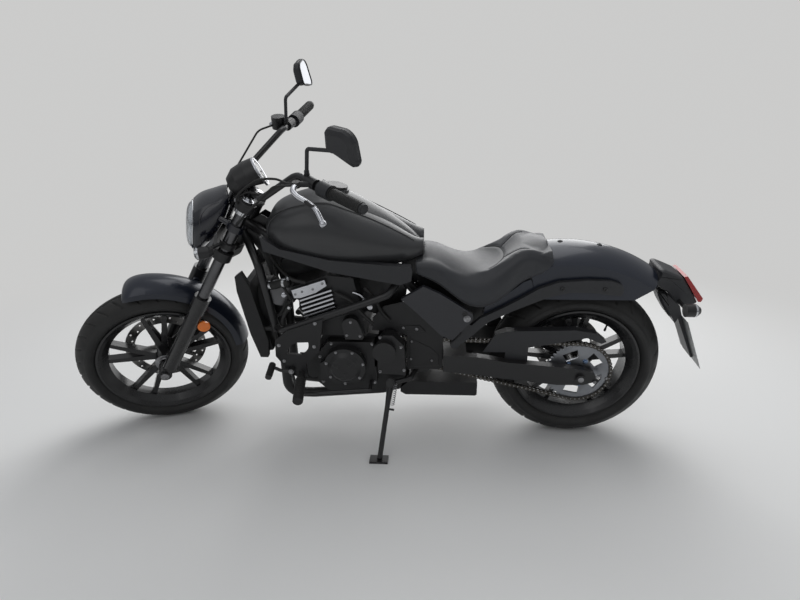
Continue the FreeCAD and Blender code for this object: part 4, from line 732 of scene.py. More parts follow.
@dataclass
class Workshop:
    """Turns shapes into pieces of the scene."""

    places: Places
    paint: Paint

    def piece(self, name: str, shape: Shape, space: Space, body: Body, finish: Finish,
              sharp: float = 38.0) -> bpy.types.Object:
        """Makes a mesh piece that rides on a body.

        Args:
            name: Name of the piece.
            shape: Its vertices and faces.
            space: Frame of its sizes.
            body: Body that it rides on.
            finish: Its surface.
            sharp: Edges beyond this angle stay sharp, degrees.

        Returns:
            The object.
        """
        verts = self.places.put(np.vstack(shape.verts), space)
        mesh = bpy.data.meshes.new(name)
        mesh.from_pydata(verts.tolist(), [], shape.faces)
        mesh.update()
        self.face_out(mesh)
        mesh.shade_smooth()
        mesh.set_sharp_from_angle(angle=math.radians(sharp))
        mesh.materials.append(self.paint.material(finish))
        piece = bpy.data.objects.new(name, mesh)
        bpy.context.scene.collection.objects.link(piece)
        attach(piece, body.value)
        LOG.info("%s: %d faces on %s", name, len(shape.faces), body.value)
        return piece

    def fixed(self, name: str, shape: Shape, finish: Finish) -> bpy.types.Object:
        """Makes a piece on the chassis."""
        return self.piece(name, shape, Space.CHASSIS, Body.CHASSIS, finish)

    def steered(self, name: str, shape: Shape, finish: Finish) -> bpy.types.Object:
        """Makes a piece that turns with the bars."""
        return self.piece(name, shape, Space.FRONT, Body.STEERING, finish)

    @staticmethod
    def face_out(mesh: bpy.types.Mesh) -> None:
        """Turns all faces of closed parts outwards.

        Args:
            mesh: Mesh of the parts.
        """
        work = bmesh.new()
        work.from_mesh(mesh)
        bmesh.ops.recalc_face_normals(work, faces=work.faces[:])
        work.to_mesh(mesh)
        work.free()


# Sub-assemblies
@dataclass
class Part:
    """A sub-assembly, with the workshop that makes its pieces."""

    shop: Workshop


@dataclass
class CadFinishes(Part):
    """Finish and rounded edges of the nodes that show as they are."""

    segments: int = 3
    from_angle: float = 32.0

    def build(self, nodes: dict[str, bpy.types.Object]) -> None:
        """Paints the nodes.

        Args:
            nodes: The frame's nodes by name.
        """
        for name, finish in NODE_FINISH.items():
            node = nodes[name]
            node.data.materials.clear()
            node.data.materials.append(self.shop.paint.material(finish))
            if name in ROUND_EDGES:
                bevel = node.modifiers.new("rounded_edges", "BEVEL")
                bevel.width = ROUND_EDGES[name] * MM
                bevel.segments = self.segments
                bevel.limit_method = "ANGLE"
                bevel.angle_limit = math.radians(self.from_angle)
                bevel.use_clamp_overlap = True
                bevel.harden_normals = True
        LOG.info("painted %d nodes", len(NODE_FINISH))


@dataclass
class Tyre(Part):
    """Tyre with a cut tread and stepped side walls, sizes in millimetres."""

    name: str
    body: Body
    space: Space
    centre: Point
    radius: float
    crown: float
    bead: float
    half: float
    blocks: int
    flange: float = 12.0
    rise: float = 62.0
    around: int = 720
    bead_outer: float = 7.3
    bead_inner: float = 18.0
    ridge: float = 0.7
    ridges: float = 4.5
    groove: float = 4.5
    slant: float = 0.9
    cut_half: float = 0.085
    cut_from: float = 0.16
    cut_to: float = 0.80
    line_half: float = 0.055
    line_wave: float = 0.05
    grooves_from: float = 0.3

    def profile(self) -> np.ndarray:
        """Cross-section: an arc for the crown, and walls on the curve (1-t)^2 a + 2t(1-t) c + t^2 b with fine ridges.

        Returns:
            Pairs (y, radius) on the outside from the left bead over the crown to the right bead.
        """
        mid = self.radius - self.crown
        a = np.radians(np.linspace(-self.rise, self.rise, 37))
        crown = np.column_stack([self.crown * np.sin(a), mid + self.crown * np.cos(a)])
        foot = np.array([self.half - self.bead_outer, self.bead + self.flange + 1.0])
        side = np.array([self.crown * 0.985, (foot[1] + crown[-1, 1]) / 2])
        t = np.linspace(0.0, 1.0, 15)[1:, None]
        ctrl = 2 * side - (foot + crown[-1]) / 2
        wall = (1 - t) ** 2 * crown[-1] + 2 * t * (1 - t) * ctrl + t ** 2 * foot
        raised = np.sin(t[:, 0] * math.pi * 2 * self.ridges) > 0.2
        wall[:, 0] -= self.ridge * raised * np.sin(t[:, 0] * math.pi) ** 0.5
        inner = np.array([[self.half - self.bead_outer, self.bead], [self.half - self.bead_inner, self.bead]])
        right = np.vstack([wall, inner])
        left = right[::-1] * np.array([-1.0, 1.0])
        return np.vstack([left, crown, right])

    def tread(self, y: np.ndarray, angle: np.ndarray) -> np.ndarray:
        """Grooves: slanted cuts where |frac(n angle + slant |y|) - 1/2| is small, and a wavy centre line.

        Args:
            y: Distances from the middle plane.
            angle: Angles round the tyre.

        Returns:
            Share of the grooves' depth at each place.
        """
        lift = np.abs(y) / self.crown
        turn = angle * self.blocks / (2 * math.pi)
        side = np.where(y > 0, 0.5, 0.0)
        phase = np.abs((turn + side + self.slant * lift) % 1.0 - 0.5)
        cut = np.clip((self.cut_half - phase) / 0.04, 0.0, 1.0)
        cut *= np.clip((lift - self.cut_from) / 0.05, 0.0, 1.0) * np.clip((self.cut_to - lift) / 0.05, 0.0, 1.0)
        wave = self.line_wave * np.sin(turn * 2 * math.pi)
        line = np.clip((self.line_half - np.abs(y / self.crown - wave)) / 0.03, 0.0, 1.0)
        return np.maximum(cut, line)

    def build(self) -> bpy.types.Object:
        """Makes the tyre in place of its node: the cross-section turned round the axle, grooves taken off.

        Returns:
            The piece.
        """
        profile = self.profile()
        angle = np.linspace(0.0, 2 * math.pi, self.around, endpoint=False)
        y, r = profile[:, :1], profile[:, 1:]
        near = np.clip((np.abs(r) - (self.radius - self.crown)) / self.crown, 0.0, 1.0) > self.grooves_from
        radius = r - self.groove * self.tread(y, angle[None, :]) * near
        x = self.centre[0] + radius * np.cos(angle)
        z = self.centre[2] + radius * np.sin(angle)
        points = np.stack([x, np.broadcast_to(y, x.shape), z], -1)
        shape = Shape().grid(np.concatenate([points, points[-1:], points[:1]]), ring=True, loop=True)
        piece = self.shop.piece(self.name + "_rubber", shape, self.space, self.body, TYRE_RUBBER, 50.0)
        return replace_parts(piece, self.name)


@dataclass
class Drive(Part):
    """Chain of plates, rollers and pins round both sprockets, and the teeth of the rear one, sizes in millimetres."""

    pitch: float = 15.875
    rear_teeth: int = 46
    front_teeth: int = 15
    front: Pair = (100.0, 405.0)
    rear: Pair = (787.5, 312.0)
    plate_end: float = 6.9
    plate_waist: float = 4.4
    plates_inner: Pair = (4.9, 6.3)
    plates_outer: Pair = (6.5, 7.9)
    roller: tuple = ((0, 4.4), (0.4, 5.0), (9.2, 5.0), (9.6, 4.4))
    pin: tuple = ((0, 2.0), (0.5, 2.7), (16.3, 2.7), (16.8, 2.0))
    tooth_foot: float = 5.6
    tooth_height: float = 6.6
    tooth_ring: float = 14.0

    def radii(self) -> Pair:
        """Pitch radii of the rear and the front sprocket: half the pitch over sin(pi / teeth)."""
        return tuple(self.pitch / 2 / math.sin(math.pi / n) for n in (self.rear_teeth, self.front_teeth))

    @staticmethod
    def straight(share: np.ndarray, slope: float, radii: Pair, start: Pair,
                 end: Pair) -> np.ndarray:
        """Points of a straight run: centre + (centre' - centre) k + (r + (r' - r) k)(cos a, sin a).

        Args:
            share: Shares k of the run.
            slope: Angle a at which the run leaves both circles.
            radii: Pitch radii at its start and end.
            start: Sprocket centre at its start.
            end: Sprocket centre at its end.

        Returns:
            Points (x, z).
        """
        k = share[:, None]
        off = radii[0] + (radii[1] - radii[0]) * k
        out = np.array([math.cos(slope), math.sin(slope)])
        return np.array(start) + (np.array(end) - np.array(start)) * k + off * out

    def pins(self) -> np.ndarray:
        """Pin centres: an even number of links spread over two arcs and the two straight runs that touch them.

        Returns:
            Points (x, z) round the loop.
        """
        big, small = self.radii()
        (fx, fz), (rx, rz) = self.front, self.rear
        dist, base = math.hypot(rx - fx, rz - fz), math.atan2(rz - fz, rx - fx)
        opening = math.asin((big - small) / dist)
        up, down = base + math.pi / 2 + opening, base - math.pi / 2 - opening
        run = dist * math.cos(opening)
        parts = [big * (up - down), run, small * (2 * math.pi - up + down), run]
        total = sum(parts)
        links = round(total / self.pitch)
        links += links % 2
        s = np.arange(links) * total / links
        edge = np.cumsum([0.0] + parts)
        a_rear, a_front = down + s / big, up + (s - edge[2]) / small
        choices = [np.column_stack([rx + big * np.cos(a_rear), rz + big * np.sin(a_rear)]),
                   self.straight((s - edge[1]) / run, up, (big, small), self.rear, self.front),
                   np.column_stack([fx + small * np.cos(a_front), fz + small * np.sin(a_front)]),
                   self.straight((s - edge[3]) / run, down, (small, big), self.front, self.rear)]
        which = np.clip(np.searchsorted(edge, s, side="right") - 1, 0, 3)
        return np.choose(which[:, None], choices)

    def build(self) -> None:
        """Makes the chain and the toothed ring."""
        pins = self.pins()
        self.chain(pins)
        self.teeth(pins)

    def chain(self, pins: np.ndarray) -> None:
        """Makes the waisted plates, by turns inside and outside, and a roller and a pin at each joint.

        Args:
            pins: Pin centres.
        """
        plates, rollers = Shape(), Shape()
        bow = np.linspace(-math.pi / 2, math.pi / 2, 8)
        for k, (p, q) in enumerate(zip(pins, np.roll(pins, -1, 0))):
            way = unit(q - p)
            square = np.array([-way[1], way[0]])
            half = np.linalg.norm(q - p) / 2
            mid = (p + q) / 2
            end = [(half + self.plate_end * math.cos(a), self.plate_end * math.sin(a)) for a in bow]
            ring = end + [(0.0, self.plate_waist)] + [(-x, -z) for x, z in end] + [(0.0, -self.plate_waist)]
            outline = [mid + way * x + square * z for x, z in ring]
            y0, y1 = self.plates_inner if k % 2 else self.plates_outer
            for side in SIDES:
                plates.plate(outline, CHAIN_Y + side * y0, CHAIN_Y + side * y1, 0.4)
            rollers.lathe((p[0], CHAIN_Y - self.roller[-1][0] / 2, p[1]), (0, 1, 0), self.roller, 12)
            rollers.lathe((p[0], CHAIN_Y - self.pin[-1][0] / 2, p[1]), (0, 1, 0), self.pin, 8)
        chain = self.shop.piece("chain_plates", plates, Space.CHASSIS, Body.CHASSIS, CHAIN_STEEL, 30.0)
        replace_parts(chain, "chain")
        self.shop.piece("chain_rollers", rollers, Space.CHASSIS, Body.CHASSIS, STEEL, 30.0)

    def teeth(self, pins: np.ndarray) -> None:
        """Makes the toothed ring: r = foot + height t^2 (3 - 2t), t rising from each pin to the tips beside it.

        Args:
            pins: Pin centres, the first of which lies in a gap.
        """
        big = self.radii()[0]
        first = math.atan2(pins[0][1] - self.rear[1], pins[0][0] - self.rear[0])
        angle = np.linspace(0, 2 * math.pi, self.rear_teeth * 12, endpoint=False)
        step = 2 * math.pi / self.rear_teeth
        off = np.abs((angle - first + step / 2) % step - step / 2) / step
        tip = np.clip((off - 0.17) / 0.22, 0.0, 1.0)
        outer = big - self.tooth_foot + self.tooth_height * tip * tip * (3 - 2 * tip)
        inner = big - self.tooth_ring
        rows = [(inner, -2.7), (outer, -2.2), (outer, 2.2), (inner, 2.7)]
        ring = np.array([np.column_stack([self.rear[0] + r * np.cos(angle), np.full(len(angle), CHAIN_Y + y),
                                          self.rear[1] + r * np.sin(angle)]) for r, y in rows])
        self.shop.piece("sprocket_teeth", Shape().grid(ring, ring=True, loop=True), Space.CHASSIS, Body.REAR_WHEEL,
                   SPROCKET_ALLOY, 30.0)


@dataclass
class Saddle(Part):
    """Padded saddle, blown up from its node by a cloth run and then seamed, sizes in millimetres."""

    voxel: float = 5.0
    pressure: float = 4.0
    frames: int = 20
    cap: float = 7.0
    start_inside: float = 3.0
    seam_depth: float = 2.6
    seam_width: float = 7.0
    thread: float = 1.1
    thread_out: float = 0.4
    stiffness: Pair = (30.0, 4.0)
    soften: tuple[float, int] = (0.5, 8)
    cuts: tuple = (((660, 0, 748), (1, 0, 0.12)), ((642, 0, 719), (0.77, 0, -0.64)))
    tank_end: float = 212.0
    flanks_from: float = 560.0
    air: float = 1.5
    fender_end: float = 105.3
    rail_sides: Pair = (109.8, 131.0)
    fender: tuple[float, float, float, float] = (715.0, 224.0, 554.0, 111.0)
    seam_foot: tuple = ((448, 108, 713), (480, 84, 727), (499, 50, 734), (504, 0, 737), (499, -50, 734),
                        (480, -84, 727), (448, -108, 713))
    seam_rise: tuple = ((499, 50, 734), (526, 66, 758), (552, 80, 778), (578, 88, 788))
    rail_top: tuple = ((395, 512), (423, 540), (489, 575), (554, 614), (617, 655), (680, 678), (777, 686))

    def seams(self) -> list[np.ndarray]:
        """Lines of the back wall.

        Returns:
            Its foot, and a seam up each side of it.
        """
        lines = [self.seam_foot, self.seam_rise, [(x, -y, z) for x, y, z in self.seam_rise]]
        return [through(np.array(line, float), 10) for line in lines]

    def build(self, node: bpy.types.Object) -> bpy.types.Object:
        """Makes the saddle in place of its node.

        Args:
            node: The saddle's node.

        Returns:
            The padded piece.
        """
        graph = bpy.context.evaluated_depsgraph_get()
        mesh = bpy.data.meshes.new_from_object(node.evaluated_get(graph))
        mesh.transform(node.matrix_world)
        piece = bpy.data.objects.new("saddle_pad", mesh)
        bpy.context.scene.collection.objects.link(piece)
        self.trim(piece.data)
        remesh = piece.modifiers.new("voxels", "REMESH")
        remesh.mode = "VOXEL"
        remesh.voxel_size = self.voxel * MM
        self.apply(piece)
        full, normal = self.coordinates(piece.data), self.coordinates(piece.data, "normal")
        start = full - normal * self.start_inside * MM
        self.move(piece.data, start)
        swollen = self.inflate(piece, start)
        soft = self.free(full, normal)
        self.move(piece.data, start + (swollen - start) * soft[:, None])
        soften = piece.modifiers.new("soften", "SMOOTH")
        soften.factor, soften.iterations = self.soften
        self.apply(piece)
        self.finish_shape(piece)
        piece.data.materials.clear()
        piece.data.materials.append(self.shop.paint.material(SADDLE))
        piece.data.shade_smooth()
        finer = piece.modifiers.new("finer", "SUBSURF")
        finer.levels = finer.render_levels = 1
        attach(piece, Body.CHASSIS.value)
        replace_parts(piece, "seat")
        LOG.info("saddle_pad: %d faces", len(piece.data.polygons))
        return piece

    def trim(self, mesh: bpy.types.Mesh) -> None:
        """Cuts the thin tail off behind the back's edge, upright and then sloping forward.

        Args:
            mesh: Mesh of the node in the row frame.
        """
        work = bmesh.new()
        work.from_mesh(mesh)
        bmesh.ops.remove_doubles(work, verts=work.verts[:], dist=1e-5)
        for point, way in self.cuts:
            cut = bmesh.ops.bisect_plane(
                work, geom=work.verts[:] + work.edges[:] + work.faces[:], clear_outer=True,
                plane_co=self.shop.places.put(np.array([point], float), Space.CHASSIS)[0].tolist(),
                plane_no=self.shop.places.way(way, Space.CHASSIS).tolist())
            edges = [e for e in cut["geom_cut"] if isinstance(e, bmesh.types.BMEdge)]
            bmesh.ops.holes_fill(work, edges=edges, sides=0)
        work.to_mesh(mesh)
        work.free()

    @staticmethod
    def apply(piece: bpy.types.Object) -> None:
        """Replaces the mesh by its evaluated one and drops the modifiers.

        Args:
            piece: The pad.
        """
        graph = bpy.context.evaluated_depsgraph_get()
        mesh = bpy.data.meshes.new_from_object(piece.evaluated_get(graph))
        piece.modifiers.clear()
        piece.data = mesh

    @staticmethod
    def coordinates(mesh: bpy.types.Mesh, what: str = "co") -> np.ndarray:
        """Vertex positions or normals as an array.

        Args:
            mesh: Mesh to read.
            what: Either co or normal.

        Returns:
            Array of one row for each vertex.
        """
        flat = np.empty(len(mesh.vertices) * 3)
        mesh.vertices.foreach_get(what, flat)
        return flat.reshape(-1, 3)

    @staticmethod
    def move(mesh: bpy.types.Mesh, co: np.ndarray) -> None:
        """Sets the vertex positions."""
        mesh.vertices.foreach_set("co", co.ravel())
        mesh.update()

    def free(self, co: np.ndarray, normal: np.ndarray) -> np.ndarray:
        """Share of the swelling that each vertex may take: none underneath, inside the flanks and at the tank.

        Args:
            co: Vertices.
            normal: Their normals.

        Returns:
            Shares between 0 and 1.
        """
        local = self.shop.places.back(co, Space.CHASSIS)
        way = normal @ self.shop.places.chassis[:3, :3]
        under = np.clip((way[:, 2] + 0.45) / 0.3, 0.0, 1.0)
        inside = np.clip((way[:, 1] * np.sign(local[:, 1]) + 0.5) / 0.3, 0.0, 1.0)
        front = np.clip((local[:, 0] - self.tank_end) / 24.0, 0.0, 1.0)
        return under * np.where(local[:, 0] > self.flanks_from, inside, 1.0) * front

    def inflate(self, piece: bpy.types.Object, start: np.ndarray) -> np.ndarray:
        """Runs the cloth.

        Args:
            piece: The pad.
            start: Its vertices before the run.

        Returns:
            Its vertices after it, none further from the start than the cap.
        """
        cloth = piece.modifiers.new("cloth", "CLOTH")
        cloth.settings.use_pressure = True
        cloth.settings.uniform_pressure_force = self.pressure
        cloth.settings.effector_weights.gravity = 0.0
        cloth.settings.quality = 5
        cloth.settings.tension_stiffness, cloth.settings.bending_stiffness = self.stiffness
        scene = bpy.context.scene
        for frame in range(1, self.frames + 1):
            scene.frame_set(frame)
        graph = bpy.context.evaluated_depsgraph_get()
        mesh = bpy.data.meshes.new_from_object(piece.evaluated_get(graph))
        piece.modifiers.clear()
        scene.frame_set(1)
        step = self.coordinates(mesh) - start
        size = np.linalg.norm(step, axis=1)
        scale = np.minimum(1.0, self.cap * MM / np.maximum(size, 1e-9))
        return start + np.nan_to_num(step * scale[:, None])

    def finish_shape(self, piece: bpy.types.Object) -> None:
        """Keeps the pad off the mudguard and the rails, and lays its seams, sunk by depth exp(-(distance / width)^2).

        Args:
            piece: The pad.
        """
        local = self.shop.places.back(self.coordinates(piece.data), Space.CHASSIS)
        cx, cz, r, w = self.fender
        dx, dz = local[:, 0] - cx, local[:, 2] - cz
        radius = np.hypot(dx, dz)
        up, out = r + self.air - radius, w + self.air - np.abs(local[:, 1])
        inside = (up > 0) & (out > 0) & (np.degrees(np.arctan2(dz, dx)) < self.fender_end)
        lift = inside & (up <= out)
        local[lift, 0] += (dx / radius * up)[lift]
        local[lift, 2] += (dz / radius * up)[lift]
        aside = inside & (up > out)
        local[aside, 1] += (np.sign(local[:, 1]) * out)[aside]
        tops = np.array(self.rail_top, float)
        clear = np.interp(local[:, 0], tops[:, 0], tops[:, 1]) + self.air - local[:, 2]
        off = np.abs(local[:, 1])
        low = (off > self.rail_sides[0]) & (off < self.rail_sides[1]) & (clear > 0) & (clear < 20.0)
        local[low, 2] += clear[low]
        away = self.shop.places.put(local, Space.CHASSIS)
        self.move(piece.data, away)
        normal = self.coordinates(piece.data, "normal")
        lines = [self.shop.places.put(line, Space.CHASSIS) for line in self.seams()]
        every = np.vstack(lines)
        far = np.min(np.linalg.norm(away[:, None, :] - every[None, :, :], axis=2), axis=1) / MM
        sunk = away - normal * (self.seam_depth * MM * np.exp(-(far / self.seam_width) ** 2))[:, None]
        self.move(piece.data, sunk)
        threads = Shape()
        for line in lines:
            near = [piece.closest_point_on_mesh(Vector(p)) for p in line]
            threads.tube([np.array(at + n * self.thread_out * MM) / MM for _, at, n, _ in near], self.thread, 6, 1)
        self.shop.piece("saddle_seams", threads, Space.ROW, Body.CHASSIS, SEAM)


@dataclass
class Wheels(Part):
    """Caps, nuts, disc bolts and valves of both wheels, sizes in millimetres."""

    front_circle: Pair = (55.2, 36.0)
    rear_circle: Pair = (95.2, 38.0)
    sprocket_circle: Pair = (CHAIN_Y - 3.6, 50.0)
    hub_cap: tuple = ((0.0, 37.5), (1.2, 37.5), (2.4, 34.0), (2.6, 26.0), (4.6, 24.0), (4.8, 17.5))
    axle_cap: tuple = ((0, 13.5), (2.0, 13.5), (2.6, 12.0), (3.0, 8.0))
    nut: tuple = ((-9.0, 16.6), (-1.0, 16.6), (0.0, 15.0))
    nut_end: tuple = ((0, 10.2), (2.6, 10.2), (3.2, 9.0))
    valve: tuple = ((0, 5), (4, 5), (6, 3.2), (20, 3.2), (21, 4.2), (31, 4.2), (32, 3.4))
    valve_angle: float = 54.0

    def build(self) -> None:
        """Adds the wheels' small metal, turned profiles and screws on circles about the axles."""
        (fx, _, fz), (rx, _, rz) = FRONT_AXLE, REAR_AXLE
        front, rear, nuts, blued = Shape(), Shape(), Shape(), Shape()
        for k in range(5):
            a = math.radians(72 * k + 36)
            front.button(spot(FRONT_AXLE, *self.front_circle, a), (0, 1, 0), 6, 3.5)
            rear.button(spot(REAR_AXLE, *self.rear_circle, a), (0, 1, 0), 6, 3.5)
            blued.bolt(spot(REAR_AXLE, *self.sprocket_circle, a + 0.5), (0, -1, 0), 7.5, 7)
        self.shop.piece("front_disc_bolts", front, Space.FRONT, Body.FRONT_WHEEL, STEEL)
        self.shop.piece("rear_disc_bolts", rear, Space.CHASSIS, Body.REAR_WHEEL, STEEL)
        self.shop.piece("sprocket_bolts", blued, Space.CHASSIS, Body.REAR_WHEEL, BLUED)
        cap = Shape().lathe((fx, -50.2, fz), (0, -1, 0), self.hub_cap, 40)
        self.shop.piece("front_hub_cap", cap, Space.FRONT, Body.FRONT_WHEEL, STEEL)
        for side in SIDES:
            nuts.lathe((fx, side * 130.0, fz), (0, side, 0), self.axle_cap, 30)
        self.shop.steered("front_axle_caps", nuts, STEEL)
        axle = Shape().lathe((rx, -153.5, rz), (0, -1, 0), self.nut, 6)
        self.shop.fixed("rear_axle_nut", axle.lathe((rx, -152.0, rz), (0, -1, 0), self.nut_end, 20), STEEL)
        a = math.radians(self.valve_angle)
        for name, centre, space, body, bead in (("front", FRONT_AXLE, Space.FRONT, Body.FRONT_WHEEL, 229.0),
                                                ("rear", REAR_AXLE, Space.CHASSIS, Body.REAR_WHEEL, 217.0)):
            way = (-math.cos(a) * 0.6, -0.55, -math.sin(a) * 0.6)
            valve = Shape().lathe(spot(centre, -8.0, bead - 30, a), way, self.valve, 14)
            self.shop.piece(name + "_valve", valve, space, body, RUBBER)


@dataclass
class Lamp(Part):
    """Head lamp: chrome dish and its bulb shield behind a clear bulged glass, in a bright rim."""

    low: Pair = (-588.0, 782.0)
    high: Pair = (-555.0, 941.0)
    half: float = 84.0
    bulge: float = 24.0
    fill: float = 0.93
    softness: float = 0.84
    thick: float = 2.2
    glass: tuple = ((1.0, 1.2), (1.0, 3.0), (0.97, 8.0), (0.90, 14.5), (0.74, 20.0), (0.5, 23.3), (0.2, 24.6))
    dish: tuple = ((0.93, 9.0), (0.90, 9.4), (0.80, 5.6), (0.60, 3.0), (0.36, 1.6), (0.16, 1.2), (0.16, 0.6),
                   (0.93, 0.6))
    shield: tuple = ((0.22, 4.0), (0.24, 12.0), (0.20, 15.0), (0.06, 16.0))
    rim: tuple = ((1.045, 0.5), (1.06, 3.0), (1.035, 6.0), (1.002, 6.0), (0.99, 3.0), (0.985, 0.5))

    def disc(self, scale: float, depth: float, count: int = 56) -> np.ndarray:
        """Outline of the lamp face, scaled and moved forwards: y = |cos t|^p and z = |sin t|^p with their signs.

        Args:
            scale: Share of the full size.
            depth: Distance in front of the seat.
            count: Number of points.

        Returns:
            Points of the closed outline.
        """
        t = np.linspace(0, 2 * math.pi, count, endpoint=False)
        level, up = (np.sign(f) * np.abs(f) ** self.softness for f in (np.cos(t), np.sin(t)))
        low, high = np.array(self.low), np.array(self.high)
        mid, arm = (low + high) / 2, (high - low) / 2
        out = np.array([-arm[1], arm[0]]) / np.linalg.norm(arm)
        xz = mid + np.outer(up * scale * self.fill, arm) + out * depth
        return np.column_stack([xz[:, 0], level * self.half * scale * self.fill, xz[:, 1]])

    def build(self) -> None:
        """Makes glass, dish, bulb shield and rim in place of the lens node."""
        deepest = self.glass[-1][1]
        rows = [self.disc(k, d * self.bulge / deepest) for k, d in self.glass]
        rows += [self.disc(k, d * self.bulge / deepest - self.thick) for k, d in reversed(self.glass)]
        glass = self.shop.steered("lamp_glass", Shape().grid(np.array(rows), loop=True), CLEAR)
        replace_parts(glass, "headlight_lens")
        for name, rings, loop in (("lamp_dish", self.dish, True), ("lamp_bulb_shield", self.shield, False),
                                  ("lamp_rim", self.rim, True)):
            rows = np.array([self.disc(k, d) for k, d in rings])
            self.shop.steered(name, Shape().grid(rows, loop=loop), CHROME)


@dataclass
class Instrument(Part):
    """Bezel, dial, marks and pointer of the gauge, sizes in millimetres and degrees."""

    face: Point = (-323.0, 0.0, 1025.0)
    normal: Point = (0.907, 0.0, 0.421)
    radius: float = 52.0
    marks: int = 25
    first_mark: float = -30.0
    mark_step: float = 10.0
    mark_long: float = 6.0
    mark_short: float = 3.2

    def build(self) -> None:
        """Adds the face of the instrument: a turned bezel and dial, and marks along rays from the middle."""
        r, c, n = self.radius, np.array(self.face), unit(self.normal)
        bezel = [(0.2, r - 8), (1.4, r - 7.4), (2.6, r - 4.5), (2.4, r - 1.2), (0.8, r), (-5.0, r + 1.0),
                 (-5.6, r - 1.5), (-0.5, r - 9)]
        u, v = across(n)
        angle = np.linspace(0, 2 * math.pi, 64, endpoint=False)
        circle = np.cos(angle)[:, None] * u + np.sin(angle)[:, None] * v
        rows = np.array([c + n * a + circle * k for a, k in bezel])
        self.shop.steered("gauge_bezel", Shape().grid(rows, loop=True), ALLOY)
        self.shop.steered("gauge_dial", Shape().lathe(c, n, [(0.1, r - 9), (0.6, r - 9), (0.8, r - 12)], 48), DIAL)
        marks = Shape()
        for k in range(self.marks):
            a = math.radians(self.first_mark + self.mark_step * k)
            way = u * math.cos(a) + v * math.sin(a)
            size = self.mark_long if k % 3 == 0 else self.mark_short
            marks.tube([c + n + way * (r - 14), c + n + way * (r - 14 - size)], 0.55, 6, 1)
        marks.tube([c + n * 2.2, c + n * 2.2 + (u * 0.8 - v * 0.6) * 30], [1.6, 0.5], 8, 2)
        self.shop.steered("gauge_marks", marks, PLATE_GREY)
        display = Shape().lathe(c + n - v * 17, n, [(0, 12.5), (0.6, 12.5), (0.9, 11.8)], 4, math.pi / 4)
        self.shop.steered("gauge_display", display, LCD)


